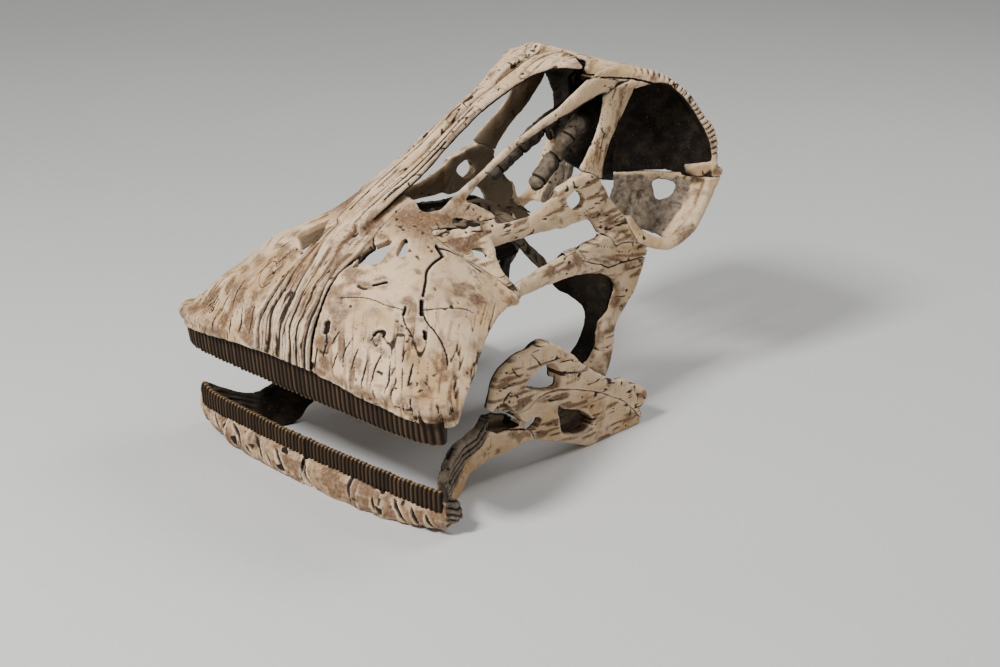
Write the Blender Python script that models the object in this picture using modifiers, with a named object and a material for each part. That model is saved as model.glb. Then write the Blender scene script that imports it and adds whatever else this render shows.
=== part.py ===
"""Skull and lower jaws of Nigersaurus taqueti, life size, laid with its jaws open on a flat surface.

X points to the animal's left, Y backwards and Z up, and the muzzle faces -Y. The tables give places in
millimetres from the lower tooth row, on the surface that the jaws rest on. Each side's bones are
modelled as one body of struts, sheets and slabs, which is then parted along its sutures and mirrored.
"""

import math

import bmesh
import bpy
import numpy as np
from mathutils import Matrix, Vector
from mathutils.bvhtree import BVHTree

MM = 0.001
NAME = "dinosaur_skull_fossil"

# Driving dimensions, in millimetres.
SUTURE = 0.5  # width of the cut between two bones
MIDLINE = 0.25  # each half stays this far from the plane of symmetry
MID_Y = 164.0  # from the lower tooth row back to the middle of the whole skull
VOXEL = 1.7  # grain of the united clay
SOFTENING = 3  # times that its joins are smoothed over
OPENING_REACH = 16  # how far an opening is cut to each side of its outline
HOLLOW_DEPTH = 40  # how deep a hollow's tool is, most of it in the air
SNOUT_THICK = 6.0
ROOF_THICK = 6.0
WALL_THICK = 4.5
CRANIUM_TRIANGLES = 780
JAW_TRIANGLES = 320
BRAINCASE_TRIANGLES = 300
PALATE_TRIANGLES = 160

# Tooth batteries: half width of the row, ribs in it, height of the tips and of the root end in the bone.
UPPER_HALF, UPPER_RIBS, UPPER_TIP, UPPER_ROOT = 129.0, 9, 71.5, 101.0
LOWER_HALF, LOWER_RIBS, LOWER_TIP, LOWER_ROOT = 127.0, 10, 35.0, 14.0
UPPER_LEAN, LOWER_LEAN = -3.0, 1.0  # how far behind its tip the root end stands
TOOTH_THICK = 6.5
RIB_HEIGHT = 1.1
PREMAXILLA_TEETH = 4  # half ribs that the premaxilla holds
TOOTH_GAP = 0.3  # from the end of one bone's teeth to the next bone's

# The snout's outer surface, from its lower rim back to the fossa and the jugal, each row from the middle.
SNOUT = [
    [(0, -24, 97), (30, -25, 97), (62, -25, 95), (92, -23, 92), (116, -18, 88), (131, -9, 85),
     (138, 5, 84)],
    [(0, -23, 121), (28, -22, 120), (57, -21, 116), (85, -18, 111), (109, -12, 107), (127, -1, 102),
     (134, 17, 99)],
    [(0, -12, 139), (25, -12, 137), (50, -10, 135), (75, -6, 132), (98, 1, 126), (116, 13, 115),
     (126, 33, 108)],
    [(0, 2, 156), (21, 3, 153), (43, 5, 152), (65, 10, 148), (86, 18, 141), (104, 31, 130), (116, 50, 117)],
    [(0, 22, 177), (20, 20, 163), (36, 22, 165), (55, 28, 163), (73, 37, 157), (90, 50, 145),
     (104, 73, 127)],
    [(0, 48, 189), (18, 44, 177), (30, 49, 176), (45, 57, 175), (60, 67, 164), (76, 81, 148),
     (93, 96, 129)],
    [(0, 76, 198), (17, 82, 193), (28, 80, 187), (40, 88, 187), (52, 98, 170), (68, 100, 150),
     (87, 112, 128)],
]
# The skull roof and the hood over the orbit, from the nasals back and down, each row from the midline out.
ROOF = [
    [(0, 226, 276), (12, 229, 275), (24, 236, 271), (33, 244, 266), (40, 254, 260)],
    [(0, 244, 270), (15, 247, 269), (30, 253, 266), (43, 262, 263), (51, 272, 258)],
    [(0, 268, 261), (18, 271, 260), (36, 276, 259), (50, 283, 257), (63, 289, 254)],
    [(0, 294, 252), (20, 297, 251), (40, 301, 249), (58, 305, 247), (73.5, 307, 240)],
    [(0, 318, 239), (22, 320, 238), (44, 323, 236), (62, 325, 232), (77.5, 322, 220)],
    [(0, 334, 222), (22, 336, 221), (44, 337, 217), (62, 337, 212), (81, 333, 202)],
    [(0, 343, 203), (22, 344, 202), (44, 343, 198), (62, 342, 193), (83.5, 336, 186)],
    [(0, 344, 186), (22, 345, 185), (44, 343, 181), (62, 341, 178), (83.5, 335, 176)],
]
# The wall at the back of the orbit, from the hood down to the lower ring, each row from the braincase out.
ORBIT_WALL = [
    [(22, 280, 238), (36, 304, 238), (52, 318, 236), (64, 320, 226), (73, 318, 218)],
    [(22, 284, 205), (36, 306, 205), (52, 320, 204), (67, 329, 203), (82, 333, 202)],
    [(23, 286, 172), (36, 302, 172), (49, 314, 172), (64, 325, 172), (83, 333, 172)],
    [(24, 282, 150), (37, 297, 148), (50, 308, 147), (64, 314, 146), (80, 318, 146)],
    [(26, 274, 134), (40, 286, 130), (54, 295, 128), (66, 298, 126), (77, 299, 126)],
]
# The quadrate's inner flange, from the squamosal down to the condyle, each row from the shaft inwards.
QUADRATE_FLANGE = [
    [(61, 255, 129), (50, 249, 129), (38, 239, 127), (28, 224, 123)],
    [(61, 254, 118), (48, 247, 117), (36, 234, 114), (25, 212, 109)],
    [(61, 252, 104), (50, 246, 102), (40, 234, 98), (31, 216, 96)],
    [(62, 247, 84), (55, 243, 82), (48, 238, 80), (42, 233, 78)],
    [(64, 238, 62), (59, 233, 61), (54, 227, 60), (49, 221, 60)],
    [(69, 224, 44), (64, 220, 46), (59, 214, 48), (53, 206, 52)],
]

# Struts: x, y, z, width and depth at each station. The second entry is the direction of the depth.
CRANIUM_STRUTS = {
    "tooth_rim": [(0, 0, 1), [(-4, -17, 105, 14, 14), (60, -18, 103, 14, 14), (100, -16, 100, 14, 13),
                              (124, -10, 97, 14, 12), (132, 3, 96, 12, 12)]],
    "dorsal_bar": [(0, -0.5, 0.85), [(6.5, 36, 180, 14, 8), (7.5, 66, 195, 15, 8), (7.5, 88, 205, 15, 8),
                                     (7, 104, 213, 13, 8), (6, 120, 221.5, 11.5, 8),
                                     (6, 140, 233.5, 11.5, 8), (6.2, 160, 243.5, 11.5, 8),
                                     (7.5, 182, 253, 14, 8), (10, 204, 262, 21, 8), (15, 222, 266.5, 31, 8),
                                     (20, 238, 266, 42, 8)]],
    "ascending_process": [(1, 0, 0), [(40, 88, 182, 14, 7), (39, 98, 189, 10, 6.5),
                                      (38, 112, 196, 8.5, 5.5), (38, 127, 204, 6.5, 5),
                                      (38, 152, 216, 6.5, 5), (39, 180, 227, 7.5, 5), (41, 205, 236, 11, 5),
                                      (43.5, 226, 245.5, 17, 5), (45, 246, 252.5, 19, 5),
                                      (45.5, 258, 255, 12, 5)]],
    "brow": [(0.85, -0.5, 0), [(27, 233, 262, 14, 5), (41, 251, 252, 20, 5), (51, 268, 250, 16, 5),
                               (61, 285, 250, 8, 5), (69, 297, 246, 5, 4)]],
    "lacrimal": [(1, 0, 0), [(45, 272, 255, 30, 7), (44, 263, 241, 33, 7), (45, 254, 225, 24, 7),
                             (48, 243, 212, 20, 7), (52, 231, 199, 23, 7), (54.5, 222, 187, 30, 7)]],
    "jugal_bar": [(1, 0, 0.2), [(52, 88, 166, 20, 6), (56, 112, 166.5, 18, 6), (57.5, 132, 166, 16, 6),
                                (58, 158, 166, 16, 6), (57.5, 180, 169, 24, 6), (57.5, 194, 173, 30, 6)]],
    "jugal_front": [(0.7, -0.3, 0.6), [(54, 92, 170, 26, 6), (60, 101, 161, 28, 6), (67, 102, 152, 20, 6),
                                       (76, 106, 142, 13, 6), (86, 113, 132, 13, 6)]],
    "light_plate": [(0.6, -0.4, 0.7), [(41, 92, 188, 14, 4), (47, 108, 184, 16, 4), (54, 124, 176, 8, 4)]],
    "quadratojugal_bar": [(1, 0.2, 0.3), [(88, 108, 130, 12, 6), (82, 120, 133, 12, 6),
                                          (77, 140, 132.5, 14, 6.5), (70, 170, 131.5, 17, 7),
                                          (65, 200, 129.5, 20, 7), (62, 225, 128, 26, 7)]],
    "orbit_ring": [(0.94, -0.32, 0.12), [(84, 334, 178, 14, 8), (83, 330, 165, 11, 8),
                                         (82, 322, 150, 10, 8), (79.5, 309, 133, 10, 8),
                                         (76, 292, 125, 10, 8), (70, 277, 128, 10, 8),
                                         (64, 265, 136, 12, 8), (60, 256, 148, 14, 7)]],
    "ring_end": [(-0.3, 0.9, 0.2), [(83.5, 335, 176, 14, 6), (76, 322, 176, 15, 6), (68, 312, 177, 10, 5)]],
    "condyle": [(0, 0.2, 1), [(75, 224, 40, 14, 10), (66, 219, 40, 17, 12), (54, 211, 45, 14, 10)]],
}
CRANIUM_SLABS = {
    "jugal_plate": [7.0, [(150, 58), (190, 55)], [(184, 184), (196, 188), (208, 191), (222, 187),
        (233, 180), (242, 167), (252, 156), (260, 147), (254, 138), (243, 131), (232, 140), (219, 156),
        (200, 157), (184, 158)]],
    "quadrate_side": [9.0, [(36, 69.5), (56, 65), (76, 61.5), (150, 61)], [(205, 137), (222, 141),
        (236, 142), (250, 138), (266, 132), (281, 122), (278, 113), (273, 102), (268, 91), (257, 81),
        (247, 71), (243, 64), (239, 54), (234, 44), (227, 36), (217, 37), (216, 46), (223, 56), (227, 66),
        (232, 74), (243, 80), (250, 88), (247, 97), (240, 106), (228, 113), (210, 119)]],
}
# Openings: the outline, the direction in which it is cut, and how far.
CRANIUM_OPENINGS = {
    "front_opening": [(0.1, -0.5, 0.85), [(26, 17, 160.5), (23.5, 25, 163.5), (24, 34, 169), (28, 42, 173),
                                          (32, 47, 175), (36, 40, 171), (40, 33, 168), (41, 26, 165),
                                          (34, 21, 164)]],
    "second_opening": [(0.1, -0.5, 0.85), [(38, 52, 176), (41, 53, 175), (47, 47, 171), (49.5, 40, 169),
                                           (46, 38, 169), (41, 45, 171)]],
    "jugal_hole": [(1, 0, 0), [(57, 193, 176), (57, 204, 181.5), (57, 213, 172), (57, 203, 166.5)]],
    "jugal_foramen": [(0.7, -0.3, 0.6), [(60.5, 95, 164), (61.5, 99, 165.5), (63.5, 103, 163.5),
                                         (66.5, 104.5, 159.5), (67, 102, 157), (66, 98, 157.5),
                                         (62.5, 95, 160)]],
    "slot_front": [(0, -0.5, 0.85), [(0, 121, 226), (1.8, 133, 232), (0, 147, 240), (-1.8, 133, 232)]],
    "slot_rear": [(0, -0.5, 0.85), [(0, 177, 252), (4, 198, 260), (0, 212, 266), (-4, 198, 260)]],
    "orbit_wall_hole": [(-0.6, 0.75, -0.2), [(46, 305, 163), (52, 310, 166), (60, 316, 163), (58, 314, 154),
        (49, 308, 150)]],
}
# Sutures: the line of the cut, and the direction and reach of its blade through the bone.
CRANIUM_SUTURES = {
    "premaxilla": [(0, -0.6, 0.8), 30, [(28.7, -44, 84), (28.7, -30, 99), (28.7, -22, 116), (26, -14, 134),
                                        (22, 1, 149), (20, 12, 158), (25, 30, 169)]],
    "premaxilla_rear": [(0, -0.5, 0.85), 13, [(32, 34, 166), (20, 40, 177), (17, 56, 186), (15.5, 74, 197),
        (15.5, 88, 203), (18, 104, 212)]],
    "nasal": [(0, -0.5, 0.85), 10, [(-6, 152, 239), (6, 154, 240), (18, 158, 242)]],
    "nasal_rear": [(0, -0.2, 0.98), 14, [(-8, 212, 268), (8, 218, 268), (18, 234, 268), (30, 238, 266),
                                         (48, 232, 262)]],
    "jugal_front": [(0.6, -0.35, 0.72), 18, [(60, 146, 187), (56, 130, 180), (53, 114, 177), (50, 96, 177),
        (44, 74, 178), (47, 73, 173), (57, 84, 160), (68, 97, 150), (79, 107, 139), (96, 122, 118)]],
    "ascending_end": [(1, 0, 0), 14, [(42, 216, 226), (42, 232, 234), (42, 246, 240.5), (42, 261, 248),
                                      (42, 280, 257)]],
    "lacrimal_top": [(1, 0, 0), 18, [(44, 212, 250), (44, 230, 256.5), (44, 246, 255), (44, 258, 253),
                                     (44, 270, 251), (44, 282, 247), (44, 300, 238)]],
    "lacrimal_foot": [(1, 0, 0), 12, [(54, 194, 186), (54, 208, 192.5), (54, 222, 190), (54, 238, 181),
                                      (54, 252, 180)]],
    "jugal_foot": [(1, 0, 0), 14, [(82, 119, 156), (82, 116, 144), (82, 115, 134), (82, 115, 118)]],
    "squamosal": [(1, 0, 0), 50, [(66, 194, 152), (66, 199, 140), (67, 203, 130), (64, 225, 122),
                                  (62, 235, 116.5), (61, 248, 117), (61, 262, 116), (60, 300, 113)]],
    "squamosal_top": [(1, 0, 0), 40, [(60, 212, 149), (60, 221, 146), (60, 230, 143), (60, 236, 139.5),
                                      (60, 243, 131.5), (60, 248, 133), (61, 262, 130), (63, 272, 126),
                                      (62, 282, 119), (60, 300, 108)]],
    "postorbital": [(1, 0, 0), 14, [(60, 246, 172), (60, 255, 153), (61, 258, 142), (62, 265, 131),
                                    (63, 269, 122)]],
    "hood": [(-0.6, 0.75, 0), 26, [(16, 262, 171), (24, 286, 171), (36, 302, 171), (49, 314, 171),
                                   (64, 325, 171), (98, 346, 171)]],
    "quadrate": [(0, 1, 0), 34, [(57, 240, 128), (57, 240, 76), (60, 236, 56), (64.5, 226, 24)]],
}
# A point in each bone of the left half of the cranium.
CRANIUM_BONES = {
    "premaxilla": (12, -20, 125),
    "nasal": (8, 182, 254),
    "frontal": (40, 306, 247),
    "maxilla": (80, 0, 128),
    "lacrimal": (46, 248, 218),
    "jugal": (58, 158, 166),
    "quadratojugal": (75, 150, 132),
    "squamosal": (61, 250, 128),
    "postorbital": (80, 312, 136),
    "quadrate": (52, 238, 90),
}

# The near side wall of the lower jaw: how far out it stands at each place along it, and its outline.
JAW_THICK = 8.0
JAW_PLAN = [(2, 127), (8, 121), (14, 114), (22, 105), (31, 97), (42, 91), (52, 87.5), (62, 85.5), (80, 85),
            (100, 86.5), (120, 88.5), (145, 91), (170, 94), (240, 95)]
JAW_OUTLINE = [(2, 36), (8, 34), (15, 31), (22, 28.5), (31, 28.5), (42, 35), (54, 38.5), (66, 40),
               (76, 43.5), (82, 50), (86, 60), (90, 74), (100, 84), (112, 89), (126, 91), (141, 91),
               (150, 86), (159, 79), (170, 69), (181, 60), (197, 49.5), (209, 43.5), (220, 41), (229, 32),
               (236, 16), (240, 4), (236, -2), (219, -3), (197, -3), (184, -2), (168, 5), (147, 13),
               (127, 20), (108, 19), (84, 16), (67, 12), (57, 2), (44, -2), (24, -2), (8, 2), (2, 12)]
JAW_STRUTS = {
    "chin": [(0, 0, 1), [(-5, -5, 10, 16, 25), (30, -4, 10, 16, 25), (73, -2, 10.5, 16, 24),
                         (98, 2, 12, 16, 22), (113, 6, 13, 18, 21), (122, 11, 15, 19, 20),
                         (128, 16, 19, 14, 16)]],
    "articular": [(0, 0, 1), [(94, 226, 22, 40, 24), (80, 230, 20, 38, 20), (70, 234, 18, 32, 16)]],
}
JAW_SLABS = {
    "inner_wall": [5.0, [(0, 83), (300, 83)], [(110, 58), (116, 80), (128, 89), (142, 91), (152, 82),
        (156, 60)]],
}
JAW_OPENINGS = {
    "upper_window": [(1, 0, 0), [(88, 118, 64), (89, 125, 71), (90, 134, 75), (91, 143, 75), (92, 150, 66),
                                 (92, 150, 57), (91, 143, 55), (90, 130, 58)]],
    "small_window": [(1, 0, 0), [(88, 118, 33), (89, 124, 38), (90, 133, 35), (90, 130, 30),
                                 (89, 124, 28)]],
}
# Hollows in the jaw's outer face, sunk to this distance from the plane of symmetry.
JAW_HOLLOWS = {
    "lower_window": [91.5, [(148, 42), (154, 37), (173, 30), (182, 21), (176, 14), (163, 14), (152, 19)]],
    "front_hollow": [84.0, [(84, 42), (89, 55), (100, 56), (107, 48), (113, 42), (110, 36), (101, 38),
                            (90, 40)]],
}
JAW_SUTURES = {
    "surangular": [(1, 0, 0), 40, [(85, 84, 56), (86, 92, 50), (87, 104, 46), (88, 120, 46), (89, 129, 52),
                                   (92, 150, 53), (94, 180, 44), (95, 218, 24), (95, 239, 4),
                                   (95, 250, -8)]],
    "dentary": [(1, 0, 0), 16, [(85, 68, 60), (85, 84, 50), (86, 93, 50), (87, 102, 47), (88, 110, 42),
                                (88, 121, 33), (90, 131, 10)]],
}
JAW_BONES = {
    "dentary": (60, -3, 12),
    "surangular": (94, 165, 62),
    "angular": (95, 200, 15),
}

# The braincase and what grows from it, and the palate, as struts.
BRAINCASE_STRUTS = {
    "block": [(0, 0, 1), [(0, 262, 214, 34, 44), (0, 282, 202, 46, 66), (0, 310, 196, 50, 82),
                          (0, 334, 192, 50, 78), (0, 342, 190, 40, 60)]],
    "condyle": [(0, 0, 1), [(0, 334, 168, 24, 22), (0, 346, 164, 22, 20), (0, 351, 162, 14, 12)]],
    "paroccipital": [(0, 1, 0.3), [(10, 334, 190, 26, 10), (40, 334, 176, 20, 8), (66, 326, 158, 18, 7)]],
    "basipterygoid": [(0.6, 0.6, 0.5), [(10, 268, 214, 18, 18), (13, 250, 210, 14, 14),
                                        (17, 229, 197, 13, 13), (20, 212, 186, 14, 14),
                                        (23, 198, 178, 11, 11)]],
}
PALATE_STRUTS = {
    "pterygoid": [(0.3, -0.2, 0.9), [(22, 216, 108, 26, 5), (20, 200, 124, 26, 5), (20, 184, 140, 28, 6),
                                     (22, 168, 154, 34, 8), (26, 150, 162, 34, 8), (30, 128, 164, 24, 6),
                                     (30, 108, 166, 14, 5)]],
    "vomer": [(1, 0, 0), [(6, 190, 150, 14, 5), (7, 160, 168, 12, 5), (8, 130, 172, 9, 5),
                          (9, 104, 176, 6, 5)]],
    "bridge": [(0, 0, 1), [(6, 170, 160, 12, 6), (18, 172, 158, 16, 6), (28, 172, 154, 16, 6)]],
}
COLOURS = {"bone": (0.60, 0.49, 0.36), "inner": (0.27, 0.22, 0.16)}
INNER_BONES = {"quadrate", "braincase", "palate"}

# Boxes that take away what crosses the midline and what would lie below the floor, by their corners.
FAR_SIDE = [(-60, -80, -50), (MIDLINE, 420, 320)]
BELOW_FLOOR = [(-200, -80, -60), (200, 420, 0)]


# Curves and solids


def spline(points, per_span, closed=False):
    """Points along a Catmull-Rom curve through the given ones."""
    pts = np.array(points, dtype=float)
    count = len(pts)
    if closed:
        pts = np.concatenate([pts[-1:], pts, pts[:2]])
        spans = count
    else:
        pts = np.concatenate([[2 * pts[0] - pts[1]], pts, [2 * pts[-1] - pts[-2]]])
        spans = count - 1
    out = []
    for span in range(spans):
        a, b, c, d = pts[span : span + 4]
        for step in range(per_span):
            t = step / per_span
            out.append(0.5 * (2 * b + (c - a) * t + (2 * a - 5 * b + 4 * c - d) * t**2
                              + (3 * b - a - 3 * c + d) * t**3))
    if not closed:
        out.append(pts[-2])
    return np.array(out)


def unit(vector):
    vector = np.array(vector, dtype=float)
    return vector / np.linalg.norm(vector)


def new_object(name, bm):
    """A mesh object, in metres about the skull's origin, from a bmesh in millimetres from the tooth row."""
    bmesh.ops.recalc_face_normals(bm, faces=bm.faces[:])
    if bm.calc_volume(signed=True) < 0:
        bmesh.ops.reverse_faces(bm, faces=bm.faces[:])
    for vert in bm.verts:
        vert.co = (vert.co - Vector((0, MID_Y, 0))) * MM
    mesh = bpy.data.meshes.new(name)
    bm.to_mesh(mesh)
    bm.free()
    obj = bpy.data.objects.new(name, mesh)
    bpy.context.scene.collection.objects.link(obj)
    return obj


def loft(name, rings):
    """A closed solid through rings of equally many points, with flat ends."""
    bm = bmesh.new()
    rows = [[bm.verts.new(point) for point in ring] for ring in rings]
    count = len(rows[0])
    for row, after in zip(rows, rows[1:]):
        for i in range(count):
            j = (i + 1) % count
            bm.faces.new((row[i], row[j], after[j], after[i]))
    bm.faces.new(rows[0][::-1])
    bm.faces.new(rows[-1])
    return new_object(name, bm)


def strut(name, flat, stations, sides=14, per_span=5):
    """A bar of elliptical section along a curve. flat is the direction of the section's depth."""
    data = spline(stations, per_span)
    centres = data[:, :3]
    tangents = np.gradient(centres, axis=0)
    rings = []
    for centre, tangent, (width, depth) in zip(centres, tangents, data[:, 3:]):
        across = unit(np.cross(flat, tangent))
        normal = unit(np.cross(tangent, across))
        turns = [2 * math.pi * i / sides for i in range(sides)]
        rings.append([centre + across * width / 2 * math.cos(a) + normal * depth / 2 * math.sin(a)
                      for a in turns])
    return loft(name, rings)


def sheet(name, rows, thickness, per_span=5, inward=(0, 0.7, -0.7)):
    """A curved plate whose outer face runs through rows of points."""
    along = np.array([spline(row, per_span) for row in rows])
    grid = np.array([spline(along[:, i], per_span) for i in range(along.shape[1])])
    bm = bmesh.new()
    verts = [[bm.verts.new(point) for point in line] for line in grid]
    for line, after in zip(verts, verts[1:]):
        for i in range(len(line) - 1):
            bm.faces.new((line[i], line[i + 1], after[i + 1], after[i]))
    bm.normal_update()
    if sum((face.normal for face in bm.faces), Vector()).dot(Vector(inward)) > 0:
        bmesh.ops.reverse_faces(bm, faces=bm.faces[:])
    obj = new_object(name, bm)
    solid = obj.modifiers.new("thickness", "SOLIDIFY")
    solid.thickness = thickness * MM
    solid.offset = -1
    solid.use_even_offset = True
    return bake(obj)


def at(table, key):
    """The value that a table of (key, value) pairs gives at a key, straight between its entries."""
    keys, values = zip(*table)
    return float(np.interp(key, keys, values))


def prism(name, outline, place, direction, reach):
    """A closed outline of (y, z) or (x, y, z) points, swept both ways along a direction."""
    points = np.array([place(*point) for point in spline(outline, 4, closed=True)])
    ahead = unit(direction)
    side = unit(np.cross(ahead, (0, 0, 1) if abs(ahead[2]) < 0.8 else (0, 1, 0)))
    rise = np.cross(ahead, side)
    flat = np.stack([points @ side, points @ rise], axis=1)
    curve = bpy.data.curves.new(name, "CURVE")
    curve.dimensions = "2D"
    curve.fill_mode = "BOTH"
    curve.extrude = reach
    line = curve.splines.new("POLY")
    line.points.add(len(flat) - 1)
    for point, (u, v) in zip(line.points, flat):
        point.co = (u, v, 0, 1)
    line.use_cyclic_u = True
    shape = bpy.data.objects.new(name, curve)
    bpy.context.scene.collection.objects.link(shape)
    mesh = bpy.data.meshes.new_from_object(shape.evaluated_get(bpy.context.evaluated_depsgraph_get()))
    bpy.data.objects.remove(shape)
    bm = bmesh.new()
    bm.from_mesh(mesh)
    bmesh.ops.remove_doubles(bm, verts=bm.verts[:], dist=0.001)
    depth = points @ ahead
    for vert in bm.verts:
        u, v, w = vert.co
        nearest = np.argmin((flat[:, 0] - u) ** 2 + (flat[:, 1] - v) ** 2)
        vert.co = side * u + rise * v + ahead * (w + depth[nearest])
    return new_object(name, bm)


def slab(name, thickness, table, outline, by_height=True):
    """A flat bone seen from the side, bent to stand as far from the midline as the table says."""
    obj = prism(name, outline, lambda y, z: (0, y, z), (1, 0, 0), thickness / 2)
    axis, offset = (2, 0) if by_height else (1, MID_Y)
    bm = bmesh.new()
    bm.from_mesh(obj.data)
    for key, _ in table:
        place, normal = Vector(), Vector()
        place[axis], normal[axis] = (key - offset) * MM, 1
        parts = bm.verts[:] + bm.edges[:] + bm.faces[:]
        bmesh.ops.bisect_plane(bm, geom=parts, plane_co=place, plane_no=normal)
    for vert in bm.verts:
        vert.co.x += at(table, vert.co[axis] / MM + offset) * MM
    bm.to_mesh(obj.data)
    bm.free()
    return obj


def blade(name, direction, reach, line):
    """A thin curved blade through a line of points, as wide as a suture."""
    points = spline(line, 2)
    step = unit(direction) * reach
    bm = bmesh.new()
    near = [bm.verts.new(point - step) for point in points]
    far = [bm.verts.new(point + step) for point in points]
    for i in range(len(points) - 1):
        bm.faces.new((near[i], near[i + 1], far[i + 1], far[i]))
    obj = new_object(name, bm)
    solid = obj.modifiers.new("width", "SOLIDIFY")
    solid.thickness = SUTURE * MM
    solid.offset = 0
    return bake(obj)


# Work on whole objects


def bake(obj):
    """Makes an object's modifiers part of its mesh."""
    graph = bpy.context.evaluated_depsgraph_get()
    mesh = bpy.data.meshes.new_from_object(obj.evaluated_get(graph))
    obj.modifiers.clear()
    obj.data = mesh
    return obj


def remove(objects):
    for obj in objects:
        bpy.data.objects.remove(obj)


def boolean(obj, other, operation="DIFFERENCE", keep=False):
    """Cuts the other solid from the object, or joins it on."""
    modifier = obj.modifiers.new("cut", "BOOLEAN")
    modifier.operation = operation
    modifier.solver = "EXACT"
    modifier.object = other
    bake(obj)
    if not keep:
        remove([other])
    return ordered(obj)


def clay(name, solids, triangles):
    """One solid from many that run into each other, with its joins smoothed over."""
    bm = bmesh.new()
    for solid in solids:
        bm.from_mesh(solid.data)
    mesh = bpy.data.meshes.new(name)
    bm.to_mesh(mesh)
    bm.free()
    obj = bpy.data.objects.new(name, mesh)
    bpy.context.scene.collection.objects.link(obj)
    remove(solids)
    remesh = obj.modifiers.new("unite", "REMESH")
    remesh.mode = "VOXEL"
    remesh.voxel_size = VOXEL * MM
    bake(obj)
    ordered(obj)
    keep_largest(obj)
    soften(obj)
    thin = obj.modifiers.new("thin_out", "DECIMATE")
    thin.ratio = min(1.0, triangles / triangle_count(obj))
    return bake(obj)


def ordered(obj):
    """Puts the edges of a mesh in the order of their points, so that the same mesh always comes out."""
    bm = bmesh.new()
    bm.from_mesh(obj.data)
    rank = len(bm.verts)
    bm.edges.sort(key=lambda edge: rank * min(v.index for v in edge.verts)
                  + max(v.index for v in edge.verts))
    bm.to_mesh(obj.data)
    bm.free()
    return obj


def soften(obj):
    """Draws each point towards its neighbours, a few times over."""
    bm = bmesh.new()
    bm.from_mesh(obj.data)
    for _ in range(SOFTENING):
        bmesh.ops.smooth_vert(
            bm, verts=bm.verts[:], factor=0.5, use_axis_x=True, use_axis_y=True, use_axis_z=True
        )
    bm.to_mesh(obj.data)
    bm.free()


def triangle_count(obj):
    return sum(len(face.vertices) - 2 for face in obj.data.polygons)


def islands(bm):
    """The separate bodies of a bmesh, as lists of faces."""
    bm.faces.ensure_lookup_table()
    seen, found = set(), []
    for start in bm.faces:
        if start.index in seen:
            continue
        seen.add(start.index)
        body, stack = [], [start]
        while stack:
            face = stack.pop()
            body.append(face)
            for edge in face.edges:
                for other in edge.link_faces:
                    if other.index not in seen:
                        seen.add(other.index)
                        stack.append(other)
        found.append(body)
    return found


def keep_largest(obj):
    """Drops the crumbs that are left beside a solid."""
    bm = bmesh.new()
    bm.from_mesh(obj.data)
    bodies = sorted(islands(bm), key=len)
    crumbs = [face for body in bodies[:-1] for face in body]
    bmesh.ops.delete(bm, geom=crumbs, context="FACES")
    bm.to_mesh(obj.data)
    bm.free()


def half_space(name, low, high):
    """A box between two corners, in millimetres from the tooth row."""
    bm = bmesh.new()
    bmesh.ops.create_cube(bm, size=1)
    low, high = Vector(low), Vector(high)
    for vert in bm.verts:
        vert.co = Vector(low[i] + (vert.co[i] + 0.5) * (high[i] - low[i]) for i in range(3))
    return new_object(name, bm)


def grown(obj, distance):
    """A copy of a solid, larger all round."""
    copy = bpy.data.objects.new(obj.name + "_grown", obj.data.copy())
    bpy.context.scene.collection.objects.link(copy)
    modifier = copy.modifiers.new("grow", "DISPLACE")
    modifier.mid_level = 0
    modifier.strength = distance * MM
    return bake(copy)


def parted(obj, bones):
    """Splits an object into its bodies. Each bone is the largest body that lies nearest to its point."""
    bm = bmesh.new()
    bm.from_mesh(obj.data)
    found = {}
    for body in sorted(islands(bm), key=len, reverse=True):
        body.sort(key=lambda face: face.index)
        verts = dict.fromkeys(vert for face in body for vert in face.verts)
        order = {vert: i for i, vert in enumerate(verts)}
        points = [tuple(vert.co) for vert in verts]
        faces = [[order[vert] for vert in face.verts] for face in body]
        surface = BVHTree.FromPolygons(points, faces)
        places = {bone: Vector((x, y - MID_Y, z)) * MM for bone, (x, y, z) in bones.items()}
        near = {bone: surface.find_nearest(place)[3] for bone, place in places.items()}
        bone = min(near, key=near.get)
        if bone not in found:
            found[bone] = bpy.data.objects.new(bone, bpy.data.meshes.new(bone))
            found[bone].data.from_pydata(points, [], faces)
            bpy.context.scene.collection.objects.link(found[bone])
    bm.free()
    remove([obj])
    missing = set(bones) - set(found)
    if missing:
        raise RuntimeError("bones not parted: " + ", ".join(sorted(missing)))
    return found


def tooth_row(name, half, ribs, span, tip, root, front, lean):
    """Part of a tooth battery, from one half rib to another: upright ribs side by side in a curved row."""
    first, last = span
    bm = bmesh.new()
    rows = []
    for step in range(first, last + 1):
        x = step * half / (2 * ribs) + TOOTH_GAP * ((step == first) - (step == last))
        y, slope = front(x / half)
        out = Vector((slope, -1, 0)).normalized()
        ridge = RIB_HEIGHT if step % 2 else 0
        face, back = Vector((x, y, tip)) + out * ridge, Vector((x, y, tip)) - out * TOOTH_THICK
        up = Vector((0, lean, root - tip))
        rows.append([bm.verts.new(point) for point in (face + up, face, back, back + up)])
    for row, after in zip(rows, rows[1:]):
        for i in range(4):
            j = (i + 1) % 4
            bm.faces.new((row[i], row[j], after[j], after[i]))
    bm.faces.new(rows[0][::-1])
    bm.faces.new(rows[-1])
    return new_object(name, bm)


def upper_front(s):
    """Front of the upper tooth row at a share of its half width, and its slope."""
    return -16.0 + 2.0 * s**2 + 10.0 * s**14, 0.35 * s**13


def lower_front(s):
    """Front of the lower tooth row at a share of its half width, and its slope."""
    return -8.0 + 6.0 * s**2 + 2.0 * s**12, 0.1 * s


# The bones


def solids(struts, slabs=None):
    """The struts and slabs of a table, as objects."""
    made = [strut(name, flat, stations) for name, (flat, stations) in struts.items()]
    for name, (thickness, table, outline) in (slabs or {}).items():
        made.append(slab(name, thickness, table, outline))
    return made


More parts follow.
